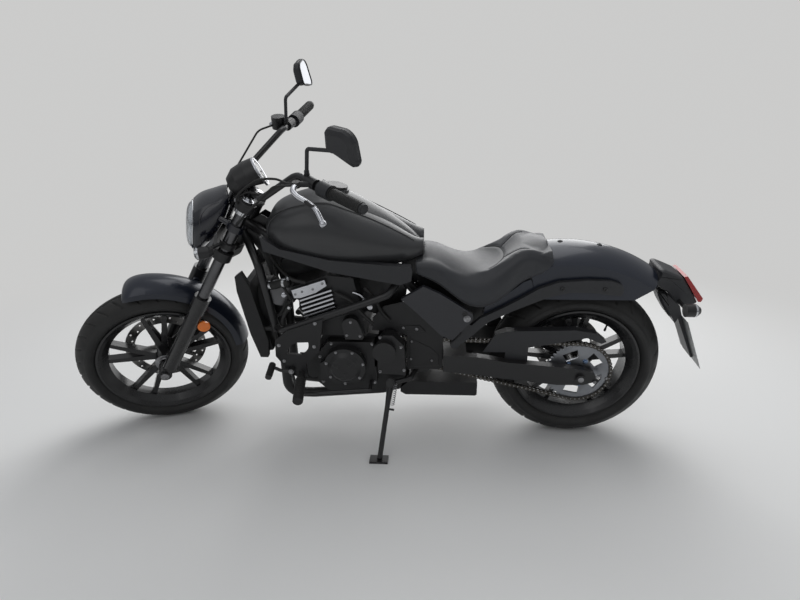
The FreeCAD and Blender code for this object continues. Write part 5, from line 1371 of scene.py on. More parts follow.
@dataclass
class Controls(Part):
    """Polished levers, ribbed grips, bar ends, caps and cables of the front end, sizes in millimetres."""

    lever: tuple = ((-234, -255, 1084), (-248, -281, 1079), (-240, -298, 1068), (-218, -318, 1057),
                    (-204, -345, 1054), (-195, -370, 1047), (-185, -400, 1021))
    lever_radii: tuple = (8.5, 8.6, 8.0, 7.4, 7.3, 7.3, 7.2)
    lever_ball: tuple = ((0, 4), (1.5, 8), (5, 10.2), (10, 11), (15, 10.2), (18.5, 8), (20, 4))
    grip: tuple = ((-149, -321, 1079), (-80, -445, 1080))
    ribs: int = 17
    bar_end: tuple = ((0.5, 14.0), (2.0, 15.2), (10.0, 15.2), (12.6, 13.5), (13.0, 7.0))
    cap: tuple = ((0, 19.8), (2.6, 19.8), (3.4, 18.0), (3.4, 12.0))
    cap_nut: tuple = ((2, 11.0), (8.6, 11.0), (9.6, 9.8))
    stem_nut: tuple = ((0, 15.5), (6.5, 15.5), (7.6, 14.2))
    collar: tuple = ((0, 21.0), (0, 25.5), (1.5, 27.0), (13.5, 27.0), (15.5, 25.0), (15.5, 21.0))
    yokes: tuple = ((872.0, 905.0), (1072.0, 1100.0))
    cables: tuple = (
        (3.8, 10, ((-236, -262, 1088), (-259, -212, 1071), (-289, -180, 1074), (-338, -150, 1063), (-382, -130, 1032),
                   (-411, -118, 1000), (-410, -112, 971), (-376, -106, 956), (-340, -84, 948), (-330, -66, 938))),
        (2.8, 8, ((-190, -262, 1080), (-236, -196, 1070), (-318, -150, 1010), (-372, -96, 1000), (-400, -84, 985))),
        (2.8, 8, ((-190, 262, 1080), (-250, 186, 1062), (-330, 128, 1006), (-380, 92, 996), (-402, 84, 982))))

    def build(self) -> None:
        """Adds what the rider holds, the fork's small metal and the cables."""
        self.bars()
        self.fork()
        cables = Shape()
        for radius, segments, path in self.cables:
            cables.tube(path, radius, segments, 8)
        self.shop.steered("control_leads", cables, RUBBER)

    def bars(self) -> None:
        """Makes the levers along their lines, and the grips with their ribs and ends, turned about the bar."""
        grips, ends = Shape(), Shape()
        for side in SIDES:
            flip = np.array([1.0, -side, 1.0])
            path = np.array(self.lever, float) * flip
            lever = Shape().tube(path, self.lever_radii, 16, 6)
            way = unit(path[-1] - path[-2])
            lever.lathe(path[-1] - way * 10, way, self.lever_ball, 20)
            self.shop.steered("lever_left" if side < 0 else "lever_right", lever, ALLOY)
            p, q = (np.array(at) * flip for at in self.grip)
            way, length = unit(q - p), np.linalg.norm(q - p)
            profile = [(14.0, 16.6), (14.5, 20.5), (18.0, 20.5), (19.0, 17.0)]
            for k in range(self.ribs):
                at = 21.0 + k * (length - 25.0) / self.ribs
                profile += [(at, 17.5), (at + 3.6, 17.5), (at + 4.2, 16.7), (at + 5.8, 16.7)]
            grips.lathe(p, way, profile + [(length + 1.0, 17.6), (length + 2.0, 15.0)], 30)
            ends.lathe(q, way, self.bar_end, 28)
        self.shop.steered("grip_rubbers", grips, RUBBER)
        self.shop.steered("bar_ends", ends, TRIM_MATTE)

    def fork(self) -> None:
        """Makes the caps, collars and clamp bolts of the fork tubes."""
        caps, collars, bolts = Shape(), Shape(), Shape()
        up = (0, 0, 1)
        for side in SIDES:
            at = (FORK_B, side * FORK_Y, TUBE_TOP - 1.0)
            caps.lathe(at, up, self.cap, 32).lathe(at, up, self.cap_nut, 6)
            collars.lathe((FORK_B, side * FORK_Y, UPPER_YOKE_LOW - 17), up, self.collar, 36)
            for low, high in self.yokes:
                bolts.button((FORK_B - 33.0, side * (FORK_Y - 14), (low + high) / 2), (-1, 0, 0), 7, 5)
        caps.lathe((0, 0, TUBE_TOP - 1), up, self.stem_nut, 6)
        for name, shape, finish in (("fork_caps", caps, ALLOY), ("fork_collars", collars, CHROME),
                                    ("yoke_bolts", bolts, STEEL)):
            self.shop.piece(name, shape, Space.HEAD, Body.STEERING, finish)


@dataclass
class Signals(Part):
    """Glasses and rims of the four signals, sizes in millimetres."""

    front_tip: Point = (-567.0, 158.0, 838.0)
    front_glass: tuple = ((-1.0, 18.0), (0.4, 18.6), (4.0, 17.5), (7.5, 13.0), (9.0, 6.0))
    front_rim: tuple = ((-5.0, 20.3), (-0.5, 21.0), (1.4, 20.3), (1.4, 18.8))
    rear_tip: Point = (1134.79, 134.0, 582.57)
    rear_glass: tuple = ((-0.8, 20.8), (3.0, 20.4), (8.0, 17.0), (11.0, 11.0), (12.4, 5.0))
    rear_rim: tuple = ((-5.0, 22.4), (-0.6, 22.6), (1.0, 22.0), (1.0, 20.6))

    def build(self) -> None:
        """Adds the small lamps' glass and rims, turned about a lengthwise axis."""
        for put, names, tip, way, glass, rim in (
                (self.shop.steered, ("front_signal_glass", "front_signal_rims"), self.front_tip, -1, self.front_glass,
                 self.front_rim),
                (self.shop.fixed, ("rear_signal_glass", "rear_signal_rings"), self.rear_tip, 1, self.rear_glass,
                 self.rear_rim)):
            glasses, rims = Shape(), Shape()
            for side in SIDES:
                glasses.lathe(aside(tip, side), (way, 0, 0), glass, 28)
                rims.lathe(aside(tip, side), (way, 0, 0), rim, 28)
            put(names[0], glasses, CLEAR)
            put(names[1], rims, CHROME)


@dataclass
class EngineTrim(Part):
    """Bright fin strips, head plates, bolts, hoses and clamps of the engine, sizes in millimetres."""

    # Lower front corner of the cylinders, from which fins and head plates are measured
    x: float = -224.0
    z: float = 470.3
    fin_from: Pair = (39.0, 66.0)
    fin: tuple = ((0, -0.5), (112, 40.5), (113.5, 34.5), (1.5, -6.5))
    face: float = 150.0
    fins: int = 6
    fin_step: Pair = (-2.2, 15.5)
    head_edge: tuple = ((3, 180), (10, 151), (34, 152), (88, 172), (126, 198), (120, 220))
    head_screws: tuple = ((16, 166), (40, 176), (78, 186), (112, 207))
    case_bolts: tuple = ((-138, 285), (-142, 390), (-98, 444), (48, 445), (52, 285))
    case_faces: Pair = (152.3, 158.0)
    generator: Pair = (-50.0, 366.0)
    generator_ring: Pair = (-184.3, 67.0)
    clutch: Pair = (-20.0, 350.0)
    clutch_ring: Pair = (190.4, 79.0)
    ring_bolts: int = 7
    # Face, radius, height and places of the bolts on the sprocket cover and on the starter cover
    left_bolts: tuple = ((-162.4, 5.0, 5.0, ((74, 338), (78, 478), (150, 440), (160, 345))),
                         (-166.0, 4.2, 4.0, ((-38, 486), (8, 484), (-22, 538))))
    boss_face: float = -194.0
    boss: tuple = ((-1.0, 44.0), (0.6, 44.0), (1.4, 42.0), (0.8, 36.0), (0.4, 20.0))
    hoses: tuple = ((15, 18, ((-330, -96, 640), (-288, -112, 652), (-262, -122, 664), (-232, -128, 668))),
                    (14, 18, ((-322, 84, 420), (-276, 96, 410), (-220, 104, 402), (-176, 108, 398))),
                    (7, 12, ((-232, -146, 590), (-252, -152, 560), (-262, -152, 526), (-246, -150, 500))),
                    (6, 12, ((-70, -148, 640), (-20, -152, 612), (20, -150, 560), (52, -140, 520))))
    clamps: tuple = (((-300, -108, 650), (1, -0.4, 0.4), 16.2), ((-250, -124, 666), (1, -0.2, 0.1), 16.2),
                     ((-236, -147, 584), (-0.5, -0.1, -0.9), 8.0), ((-200, 106, 400), (1, 0.1, -0.1), 15.2))

    def build(self) -> None:
        """Adds the engine's small metal, and its hoses along their lines."""
        self.block()
        self.boss_ring()
        hoses, clamps = Shape(), Shape()
        for radius, segments, path in self.hoses:
            hoses.tube(path, radius, segments, 6)
        self.shop.fixed("hoses", hoses, RUBBER)
        for at, way, r in self.clamps:
            clamps.lathe(at, way, [(-4.5, r - 1.4), (-4.5, r), (4.5, r), (4.5, r - 1.4)], 26)
        self.shop.fixed("hose_clamps", clamps, CHROME)

    def block(self) -> None:
        """Makes the fin strips and head plates on both sides, and all bolts."""
        strips, plates, bolts = Shape(), Shape(), Shape()
        for side in SIDES:
            face = side * self.face
            for k in range(self.fins):
                x = self.x + self.fin_from[0] + self.fin_step[0] * k
                z = self.z + self.fin_from[1] + self.fin_step[1] * k
                strips.plate([(x + a, z + b) for a, b in self.fin], face, face + side * 1.6, 0.5)
            plate = [(self.x + a, self.z + b) for a, b in self.head_edge]
            plates.plate(plate, face + side * 1.0, face + side * 3.2, 0.9)
            for a, b in self.head_screws:
                bolts.button((self.x + a, face + side * 3.2, self.z + b), (0, side, 0), 4.5, 3.0)
            for a, b in self.case_bolts:
                bolts.bolt((a, side * self.case_faces[side > 0], b), (0, side, 0), 5.0, 4.5)
        self.shop.fixed("fin_strips", strips, ALLOY)
        self.shop.fixed("head_plates", plates, ALLOY)
        for k in range(self.ring_bolts):
            a = math.radians(360 / self.ring_bolts * k + 12)
            bolts.bolt(spot(self.generator, *self.generator_ring, a), (0, -1, 0), 4.6, 4.2)
            bolts.bolt(spot(self.clutch, *self.clutch_ring, a), (0, 1, 0), 4.6, 4.2)
        for face, radius, height, places in self.left_bolts:
            for x, z in places:
                bolts.bolt((x, face, z), (0, -1, 0), radius, height)
        self.shop.fixed("engine_bolts", bolts, STEEL)

    def boss_ring(self) -> None:
        """Makes the boss of the generator cover with its three spokes."""
        ring = Shape().lathe(spot(self.generator, self.boss_face, 0.0, 0.0), (0, -1, 0), self.boss, 48)
        for k in range(3):
            a = math.radians(120 * k + 40)
            corners = [spot(self.generator, 0.0, r, a + turn) for r, turn in ((20, -0.3), (43, -0.06), (43, 0.06),
                                                                              (20, 0.3))]
            ring.plate([(x, z) for x, _, z in corners], self.boss_face + 0.4, self.boss_face - 2.6, 0.8)
        self.shop.fixed("generator_boss", ring, COVER_BLACK)


@dataclass
class FrameTrim(Part):
    """Bolts, peg rubbers, springs and adjusters on the frame, sizes in millimetres."""

    rail_screws: tuple = ((691.0, 129.3, 655.5), (831.0, 129.3, 655.5))
    cover_screw: Point = (370.0, 146.6, 566.0)
    pivot_at: Point = (225.0, 84.0, 365.0)
    pivot: tuple = ((-1, 19), (1.5, 19), (2.0, 17.5))
    tube_bolts: tuple = ((-262, 193.5, 395), (-274, 193.5, 458), (-140, 193.5, 546), (-150, 193.5, 455))
    peg: tuple = ((-200, 226, 340), (-190, 330, 322))
    peg_ribs: int = 9
    peg_bolt: Point = (-236.0, 211.5, 362.0)
    toe_at: Point = (-302.0, 203.0, 386.0)
    toe: tuple = ((0, 10), (1, 12), (58, 12), (60, 10))
    bracket_bolts: tuple = ((838.0, -149.0, 300.0), (875.0, -149.0, 318.0))
    adjuster_at: Point = (846.0, -128.0, 312.0)
    adjuster: tuple = ((-12, 4), (14, 4), (14, 7.5), (19, 7.5), (20, 6.5))
    shock: tuple = ((254, 163, 505), (506, 163, 408))
    stand: tuple = ((131, -176, 296), (118, -206, 222))

    def build(self) -> None:
        """Adds the frame's small metal and rubber."""
        bolts, dark, rubber = Shape(), Shape(), Shape()
        for side in SIDES:
            out = (0, side, 0)
            for at in self.rail_screws:
                dark.button(aside(at, side), out, 8.0, 4.5)
            x, y, z = aside(self.pivot_at, side)
            bolts.lathe((x, y, z), out, self.pivot, 28).bolt((x, y + side * 1.5, z), out, 13.0, 9.0)
            dark.button(aside(self.cover_screw, side), out, 9.0, 4.0)
            for at in self.tube_bolts:
                bolts.bolt(aside(at, side), out, 5.4, 5.0)
            start, end = (np.array(aside(at, side), float) for at in self.peg)
            length = np.linalg.norm(end - start)
            profile = [(0.0, 16.0)]
            for k in range(self.peg_ribs):
                at = 1.0 + k * (length - 4) / self.peg_ribs
                profile += [(at, 18.2), (at + 7.0, 18.2), (at + 8.0, 16.8), (at + 10.0, 16.8)]
            rubber.lathe(start, unit(end - start), profile + [(length, 18.0), (length + 1.5, 14.0)], 22)
            rubber.lathe(aside(self.toe_at, side), (0.03, side, -0.15), self.toe, 18)
            bolts.bolt(aside(self.peg_bolt, side), out, 8.0, 5.0)
        for at in self.bracket_bolts:
            bolts.bolt(at, (0, -1, 0), 5.0, 4.0)
        bolts.lathe(self.adjuster_at, (1, 0, 0), self.adjuster, 6)
        self.shop.fixed("frame_bolts", bolts, STEEL)
        self.shop.fixed("black_screws", dark, FRAME_BLACK)
        self.shop.fixed("peg_rubbers", rubber, RUBBER)
        self.springs()

    def springs(self) -> None:
        """Makes the spring of the shock and that of the side stand."""
        top, foot = (np.array(at, float) for at in self.shock)
        way = unit(foot - top)
        line = coil(top + way * 57, foot - way * 42, 26.0, 8.5, 150)
        self.shop.fixed("shock_spring", Shape().tube(line, 5.0, 8, 1), RIM_BLACK)
        line = coil(*(np.array(at, float) for at in self.stand), 6.0, 11, 120)
        self.shop.piece("stand_spring", Shape().tube(line, 1.4, 6, 1), Space.CHASSIS, Body.SIDE_STAND, STEEL)


@dataclass
class MirrorRims(Part):
    """Dark rims round the mirror glasses, sizes in millimetres."""

    radius: float = 2.2
    steps: int = 48

    def build(self, node: bpy.types.Object) -> None:
        """Lays a rim on each glass: its farthest point in each of some directions, joined by a closed tube.

        Args:
            node: Node of both glasses.
        """
        local = self.shop.places.back(Saddle.coordinates(node.data), Space.FRONT)
        rims = Shape()
        for glass in (local[local[:, 1] < 0], local[local[:, 1] > 0]):
            centre = (glass.min(0) + glass.max(0)) / 2
            flat = np.linalg.svd(glass - centre, full_matrices=False)[2]
            u, v = (glass - centre) @ flat[0], (glass - centre) @ flat[1]
            turn = np.linspace(-math.pi, math.pi, self.steps, endpoint=False)
            far = np.argmax(np.outer(np.cos(turn), u) + np.outer(np.sin(turn), v), axis=1)
            line = centre + np.outer(u[far], flat[0]) + np.outer(v[far], flat[1])
            line = line[np.linalg.norm(line - np.roll(line, 1, 0), axis=1) > 1.0]
            rims.tube(np.vstack([line, line[:2]]), self.radius, 8, 1)
        self.shop.steered("mirror_rims", rims, TRIM_MATTE)


@dataclass
class TailShell(Part):
    """Smooth housing of the tail lamp in place of its node, sizes in millimetres."""

    base: Pair = (1028.79, 680.57)
    half: float = 61.5
    draw: float = 7.0
    edge: tuple = ((1, -3), (-2, 13), (12, 17), (40, 6), (83, -12.5), (147, -105), (132, -115), (100, -125),
                   (78, -111), (36, -68), (-19, -36))
    joint: tuple = ((1030, 61.2, 671), (1062, 61.6, 668), (1100, 60.8, 662))
    skirt: tuple = ((1040, 606), (1070, 606), (1112, 560), (1134, 512), (1128, 500), (1100, 505), (1062, 560))

    def build(self) -> None:
        """Makes the housing, its lid's joint and the skirt; the housing's sides draw in by d (1 - sqrt(1 - |k|^7))."""
        outline = rounded([(self.base[0] + a, self.base[1] + b) for a, b in self.edge], 9.0)
        rows = []
        for k in np.linspace(-1.0, 1.0, 21):
            ring = inset(outline, self.draw * (1 - math.sqrt(1 - abs(k) ** 7)))
            rows.append(np.column_stack([ring[:, 0], np.full(len(ring), self.half * k), ring[:, 1]]))
        housing = Shape().grid(np.array(rows))
        shell = self.shop.piece("tail_shell", housing, Space.CHASSIS, Body.CHASSIS, TRIM_MATTE, 50.0)
        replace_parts(shell, "tail_unit")
        joint = Shape()
        for side in SIDES:
            joint.tube([aside(at, side) for at in self.joint], 1.3, 6, 4)
        self.shop.fixed("tail_joint", joint, GAP_AND_GROOVE_SHADE)
        self.shop.fixed("tail_skirt", Shape().plate(rounded(self.skirt, 10.0), -36.0, 36.0, 8.0), TRIM_MATTE)


@dataclass
class DarkPanels(Part):
    """Dark plates and fittings that close the view through the frame, sizes in millimetres: horn, wiring, pipes and
    boxes stand for real parts, while the plain plates partly stand in for the shade deep between the parts.
    """

    flap: tuple = ((436, 546), (489, 563), (560, 604), (609.5, 616), (594, 671), (588, 681), (565, 671), (540, 649),
                   (510, 624), (482, 605), (450, 584), (440, 582))
    neck: tuple = ((-396, 812), (-370, 858), (-332, 882), (-306, 866), (-306, 824), (-262, 800), (-272, 738),
                   (-300, 640), (-318, 660), (-348, 742))
    liner: tuple = ((505, 616), (533, 650), (561, 673), (590, 696), (612, 702), (622, 660), (616, 612), (560, 598))
    # Outline, corner radius, half width and chamfer of each box
    airbox: tuple = ((((-60, 640), (-60, 690), (150, 676), (172, 640), (160, 560), (60, 505), (-30, 540)), 18, 46, 6),
                     (((-282, 640), (-284, 716), (-200, 742), (-150, 720), (-150, 650), (-200, 600)), 14, 30, 4))
    tray: tuple = ((205, 628), (214, 694), (262, 680), (318, 622), (366, 575), (408, 592), (444, 560), (434, 505),
                   (394, 470), (330, 500), (262, 560))
    tray_back: tuple = ((150, 662), (150, 770), (204, 770), (222, 742), (222, 655), (186, 634))
    # Outline, both faces and chamfer of each plate on the left
    covers: tuple = (
        (((168, 318), (168, 462), (120, 474), (44, 478), (50, 530), (90, 575), (152, 591), (222, 589), (268, 566),
          (298, 520), (298, 330), (286, 318)), -107.6, -110.6, 1.0),
        (((180, 330), (178, 450), (256, 410), (284, 380), (284, 334)), -110.4, -113.0, 1.4),
        (((-228, 374), (-154, 374), (-152, 274), (-190, 266), (-226, 284)), -96.0, -100.0, 1.0),
        (((150, 480), (146, 500), (216, 500), (236, 476), (190, 474)), -110.4, -114.0, 1.2))
    screws: tuple = ((157, 491, 5.5), (204, 487, 6.5), (182, 363, 5.0), (258, 358, 5.0), (186, 436, 4.5))
    screw_face: float = -113.4
    cap_at: Point = (378.0, 146.4, 547.0)
    round_cap: tuple = ((-0.4, 12.5), (1.6, 12.5), (2.2, 11.0), (1.2, 9.0), (1.2, 7.5), (3.0, 7.0), (3.6, 3.0))
    horn_at: tuple = ((-282, -72, 600), (0.2, -1, 0))
    horn: tuple = ((-16, 18), (-6, 40), (0, 44), (4, 44), (6, 38), (3, 20), (6, 8))
    horn_ring: tuple = ((2, 42), (5, 45), (7.5, 43), (6.5, 40))
    wiring: tuple = ((6, ((-330, -34, 760), (-300, -52, 722), (-262, -96, 700), (-214, -148, 690), (-170, -152, 680))),
                     (5, ((-300, -60, 706), (-276, -100, 668), (-248, -126, 640), (-228, -146, 616))),
                     (6, ((-322, -100, 520), (-280, -112, 540), (-250, -128, 590), (-232, -146, 600))),
                     (6, ((30, -146, 660), (60, -140, 620), (80, -120, 560), (110, -116, 520))))
    # A thin pipe, then place, direction, profile and sides of its two fittings, twice
    pipes: tuple = (
        (((-292, -108, 664), (-262, -122, 676), (-232, -140, 690)),
         ((-232, -140, 690), (0.6, -0.5, 0.4), ((-8, 6.5), (-7, 8.0), (6, 8.0), (7, 6.0)), 6),
         ((-256, -124, 620), (0.2, -1, 0.2), ((-6, 7), (-5, 9), (2, 9), (4, 5)), 16)),
        (((-12, -140, 640), (14, -146, 632), (30, -148, 612)),
         ((30, -148, 612), (0.3, -0.3, -0.9), ((-8, 7.5), (-7, 9.0), (7, 9.0), (8, 7.0)), 6),
         ((44, -140, 585), (0, -1, 0.1), ((-8, 8), (-7, 9.5), (3, 9.5), (5, 6)), 16)))

    def build(self) -> None:
        """Adds the panels, the horn and the wiring."""
        self.panels()
        bolts = Shape()
        for x, z, r in self.screws:
            bolts.button((x, self.screw_face, z), (0, -1, 0), r, 4.0)
        for side in SIDES:
            bolts.lathe(aside(self.cap_at, side), (0, side, 0), self.round_cap, 28)
        self.shop.fixed("cover_bolts", bolts, STEEL)
        self.shop.fixed("horn", Shape().lathe(*self.horn_at, self.horn, 36), COVER_BLACK)
        self.shop.fixed("horn_ring", Shape().lathe(*self.horn_at, self.horn_ring, 36), DARK_CHROME)
        loom, bright = Shape(), Shape()
        for radius, path in self.wiring:
            loom.tube(path, radius, 10, 6)
        self.shop.fixed("wiring", loom, RUBBER)
        for path, *fittings in self.pipes:
            bright.tube(path, 4.0, 10, 4)
            for fitting in fittings:
                bright.lathe(*fitting)
        self.shop.fixed("bright_fittings", bright, ALLOY)

    def panels(self) -> None:
        """Makes the plates and boxes; the plain dark plates are partly painted shade between the parts."""
        flaps, neck, dark, liner, airbox = Shape(), Shape(), Shape(), Shape(), Shape()
        for side in SIDES:
            flaps.plate(self.flap, side * 108.0, side * 110.8, 0.6)
            neck.plate(self.neck, side * 27.0, side * 30.0, 0.8)
            liner.plate(self.liner, side * 101.0, side * 104.0, 0.6)
        for outline, corner, half, chamfer in self.airbox:
            airbox.plate(rounded(outline, corner), -half, half, chamfer)
        tray = Shape().plate(rounded(self.tray, 10), -56.0, 56.0, 3.0).plate(self.tray_back, -54.0, 54.0, 3.0)
        for outline, inner, outer, chamfer in self.covers:
            dark.plate(outline, inner, outer, chamfer)
        # Plain dark plates: partly real covers, partly dark sheets standing in for shade between the parts
        for name, shape, finish in (("fender_flaps", flaps, MIDNIGHT), ("fender_liner", liner, TRIM_MATTE),
                                    ("airbox", airbox, COVER_BLACK), ("battery_tray", tray, COVER_BLACK),
                                    ("neck_plates", neck, COVER_BLACK), ("pivot_cover", dark, CAST_BLACK)):
            self.shop.fixed(name, shape, finish)


@dataclass
class BodyTrim(Part):
    """Raised lines, painted groove shade, screws and edges on tank, mudguards, lamp and plate, sizes in millimetres.
    """

    fender: Point = (715.0, 224.0, 553.5)
    fender_screws: Pair = (92.0, 78.0)
    plate_top: Point = (1140.79, 0.0, 512.57)
    plate_down: Point = (0.39008, 0.0, -0.92078)
    plate_out: Point = (0.92078, 0.0, 0.39008)
    plate_ridge: tuple = ((-84, 6), (84, 6), (84, 194), (-84, 194))
    plate_screws: tuple = ((-50, 22), (50, 22))
    crease: tuple = ((-553, 91, 834), (-547, 92.5, 880), (-541, 84, 918), (-527, 72, 938), (-503, 62, 952),
                     (-473, 58, 958), (-450, 54, 959))
    tank_line: tuple = ((-270, 796), (-286, 822), (-289, 850), (-278, 880), (-255, 902), (-222, 918), (-180, 930),
                        (-129, 938), (-80, 936), (-28, 917), (24, 895), (78, 870), (149, 833), (196, 806))
    # Height of the painted groove shade above the bead
    shade_above: float = 2.6
    reach: float = 0.3

    def on_plate(self, y: float, down: float, proud: float) -> np.ndarray:
        """A point of the number plate: its top plus down and out along its two directions."""
        down_by, out_by = np.array(self.plate_down) * down, np.array(self.plate_out) * proud
        return np.array(self.plate_top) + down_by + np.array([0, y, 0]) + out_by

    def build(self, nodes: dict[str, bpy.types.Object]) -> None:
        """Adds trim laid on the CAD surfaces.

        Args:
            nodes: The frame's nodes by name.
        """
        self.tank_lines(nodes["fuel_tank"])
        fender, ridge, crease, screws = Shape(), Shape(), Shape(), Shape()
        for angle in self.fender_screws:
            a = math.radians(angle)
            fender.button(spot(self.fender[:2], 0.0, self.fender[2], a), (math.cos(a), 0, math.sin(a)), 9.0, 4.0)
        self.shop.fixed("fender_screws", fender, FRAME_BLACK)
        corners = [self.on_plate(y, down, 1.9) for y, down in self.plate_ridge]
        self.shop.fixed("plate_ridge", ridge.tube(corners + corners[:1], 0.7, 6, 1), PLATE_GREY)
        for side in SIDES:
            crease.tube([aside(at, side) for at in self.crease], 1.6, 6, 4)
        self.shop.steered("shell_crease", crease, SHELL_BLACK)
        for y, down in self.plate_screws:
            screws.button(self.on_plate(y, down, 1.8), self.plate_out, 5, 2.5)
        self.shop.fixed("plate_screws", screws, STEEL)

    def tank_lines(self, tank: bpy.types.Object) -> None:
        """Lays the panel line on both flanks of the tank, each point where a level ray from the side meets it, and a
        near-black line just above it as painted shade in the inset's groove.

        Args:
            tank: Node of the tank.
        """
        inverse = tank.matrix_world.inverted()
        beads, groove_shade = Shape(), Shape()
        above = self.shop.places.way((0, 0, 1), Space.CHASSIS) * self.shade_above
        for side in SIDES:
            way = self.shop.places.way((0, -side, 0), Space.CHASSIS)
            points = []
            for x, z in through(np.array(self.tank_line, float), 8):
                start = self.shop.places.put(np.array([[x, side * 260.0, z]]), Space.CHASSIS)[0]
                hit, at, _, _ = tank.ray_cast(inverse @ Vector(start), inverse.to_3x3() @ Vector(way),
                                              distance=self.reach)
                if hit:
                    points.append(np.array(tank.matrix_world @ at) / MM)
            beads.tube(points, 2.0, 8, 1)
            # Painted shade: a near-black line just above the bead darkens the groove of the inset
            groove_shade.tube(np.array(points) + above, 1.2, 6, 1)
        for name, shape, finish in (("tank_lines", beads, TANK_MATTE), ("tank_groove_shade", groove_shade, GAP_AND_GROOVE_SHADE)):
            self.shop.piece(name, shape, Space.ROW, Body.CHASSIS, finish)


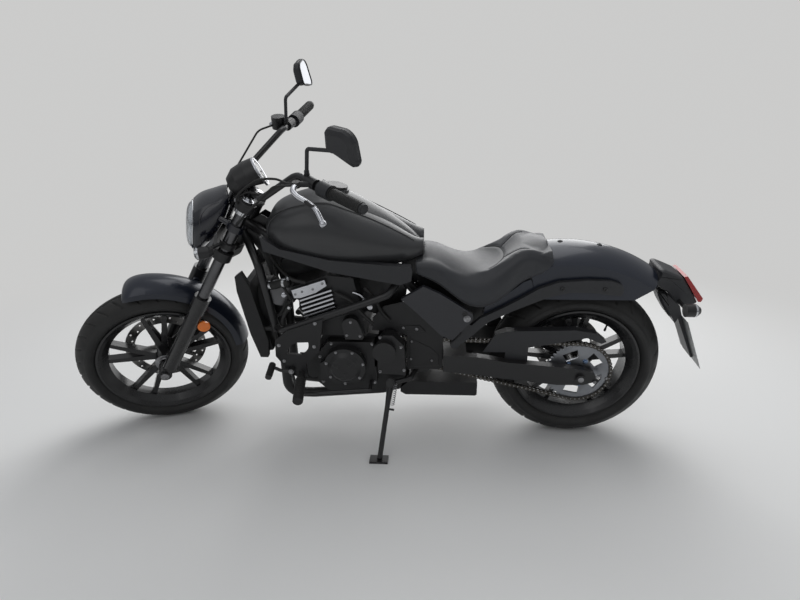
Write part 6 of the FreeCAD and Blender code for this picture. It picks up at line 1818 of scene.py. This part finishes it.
@dataclass
class Studio:
    """Pale floor, soft lights and the camera of the photograph, sizes in metres and degrees."""

    floor_half: float = 40.0
    floor_colour: Point = (0.80, 0.80, 0.79)
    far_tone: Point = (0.60, 0.60, 0.595)
    fade_from: float = 1.45
    fade_to: float = 3.6
    sky_strength: float = 0.52
    sky: tuple = ((0.0, (0.16, 0.16, 0.16, 1)), (0.18, (0.62, 0.63, 0.65, 1)), (0.9, (0.95, 0.97, 1.0, 1)))
    # Place, width and power of each light
    boxes: tuple = (("back_box", (0.6, 3.6, 2.8), 3.6, 95.0), ("front_box", (-1.4, -3.6, 3.4), 3.0, 16.0),
                    ("top_box", (0.6, 0.9, 4.2), 2.6, 34.0))
    aim: Point = (0.0, 0.0, 0.5)
    lens: float = 25.34
    offset: Point = (-0.5277, -2.0203, 0.8216)
    pitch: float = -16.62
    roll: float = 0.17
    yaw: float = 3.51

    def build(self, rear_axle: Vector) -> None:
        """Sets the stage.

        Args:
            rear_axle: Rear wheel centre in the row frame.
        """
        self.floor()
        self.world()
        self.lights()
        self.camera(rear_axle)

    def floor(self) -> None:
        """Makes the floor, fading to the backdrop's tone far away for the camera only."""
        s = self.floor_half
        mesh = bpy.data.meshes.new("floor")
        mesh.from_pydata([(-s, -s, 0), (s, -s, 0), (s, s, 0), (-s, s, 0)], [], [(0, 1, 2, 3)])
        floor = bpy.data.objects.new("floor", mesh)
        bpy.context.scene.collection.objects.link(floor)
        material = bpy.data.materials.new("floor")
        material.use_nodes = True
        tree = material.node_tree
        shader = tree.nodes["Principled BSDF"]
        for name, value in (("Base Color", (*self.floor_colour, 1.0)), ("Roughness", 0.85),
                            ("Specular IOR Level", 0.15)):
            shader.inputs[name].default_value = value
        coord, path = add_node(tree, "TexCoord"), add_node(tree, "LightPath")
        far = add_node(tree, "VectorMath", operation="LENGTH")
        fade = add_node(tree, "MapRange", {"From Min": self.fade_from, "From Max": self.fade_to},
                        interpolation_type="SMOOTHSTEP")
        seen = add_node(tree, "Math", operation="MULTIPLY")
        glow = add_node(tree, "Emission", {"Color": (*self.far_tone, 1.0), "Strength": 1.0})
        mix = add_node(tree, "MixShader")
        wire(tree, (coord, "Object", far, 0), (far, "Value", fade, "Value"), (fade, "Result", seen, 0),
             (path, "Is Camera Ray", seen, 1), (seen, "Value", mix, "Fac"), (shader, "BSDF", mix, 1),
             (glow, "Emission", mix, 2), (mix, "Shader", tree.nodes["Material Output"], "Surface"))
        mesh.materials.append(material)

    def world(self) -> None:
        """Makes a soft sky, brighter above, with the floor's tone for the camera."""
        world = bpy.data.worlds.new("studio")
        bpy.context.scene.world = world
        world.use_nodes = True
        tree = world.node_tree
        sky = tree.nodes["Background"]
        sky.inputs["Strength"].default_value = self.sky_strength
        coord, split = add_node(tree, "TexCoord"), add_node(tree, "SeparateXYZ")
        ramp = add_node(tree, "ValToRGB")
        low, middle, high = self.sky
        ends = ramp.color_ramp.elements
        ends[0].position, ends[0].color = low
        ends[1].position, ends[1].color = high
        ends.new(middle[0]).color = middle[1]
        plain_tone = add_node(tree, "Background", {"Color": (*self.far_tone, 1.0)})
        path, mix = add_node(tree, "LightPath"), add_node(tree, "MixShader")
        wire(tree, (coord, "Generated", split, "Vector"), (split, "Z", ramp, "Fac"), (ramp, "Color", sky, "Color"),
             (path, "Is Camera Ray", mix, "Fac"), (sky, "Background", mix, 1), (plain_tone, "Background", mix, 2),
             (mix, "Shader", tree.nodes["World Output"], "Surface"))

    def lights(self) -> None:
        """Makes large soft boxes: one high behind, one over the camera side and one above."""
        for name, at, size, power in self.boxes:
            data = bpy.data.lights.new(name, "AREA")
            data.shape, data.size, data.energy = "SQUARE", size, power
            light = bpy.data.objects.new(name, data)
            turn = (Vector(self.aim) - Vector(at)).to_track_quat("-Z", "Y").to_matrix().to_4x4()
            light.matrix_world = Matrix.Translation(Vector(at)) @ turn
            bpy.context.scene.collection.objects.link(light)

    def camera(self, rear_axle: Vector) -> None:
        """Puts the camera where the photograph was taken.

        Args:
            rear_axle: Rear wheel centre in the row frame.
        """
        data = bpy.data.cameras.new("camera")
        data.lens, data.sensor_width = self.lens, 36.0
        camera = bpy.data.objects.new("camera", data)
        turn = (Matrix.Rotation(math.radians(self.yaw), 3, "Z") @ Matrix.Rotation(math.radians(self.pitch), 3, "X")
                @ Matrix.Rotation(math.radians(self.roll), 3, "Y") @ Matrix.Rotation(math.radians(90), 3, "X"))
        camera.matrix_world = Matrix.Translation(rear_axle + Vector(self.offset)) @ turn.to_4x4()
        bpy.context.scene.collection.objects.link(camera)
        bpy.context.scene.camera = camera


def main() -> None:
    """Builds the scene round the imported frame."""
    logging.basicConfig(level=logging.INFO, format="%(name)s: %(message)s")
    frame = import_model()
    bpy.context.scene.view_settings.view_transform = "Standard"
    places = Places.from_joints(frame["joints"])
    shop = Workshop(places, Paint())
    nodes = frame["nodes"]
    rear_axle = Vector(next(j for j in frame["joints"] if j["name"] == "rear_wheel_spin")["pos_m"])
    Studio().build(rear_axle)
    CadFinishes(shop).build(nodes)
    Tyre(shop, "front_tyre", Body.FRONT_WHEEL, Space.FRONT, FRONT_AXLE, 312.6, 60.0, 229.0, 50.0, 30).build()
    Tyre(shop, "rear_tyre", Body.REAR_WHEEL, Space.CHASSIS, REAR_AXLE, 312.0, 80.0, 217.0, 66.0, 26).build()
    Drive(shop).build()
    Saddle(shop).build(nodes["seat"])
    for part in (Wheels, Lamp, Instrument, Controls, Signals, EngineTrim, FrameTrim):
        part(shop).build()
    MirrorRims(shop).build(nodes["mirror_glass"])
    for part in (TailShell, DarkPanels):
        part(shop).build()
    BodyTrim(shop).build(nodes)


if __name__ == "__main__":
    main()
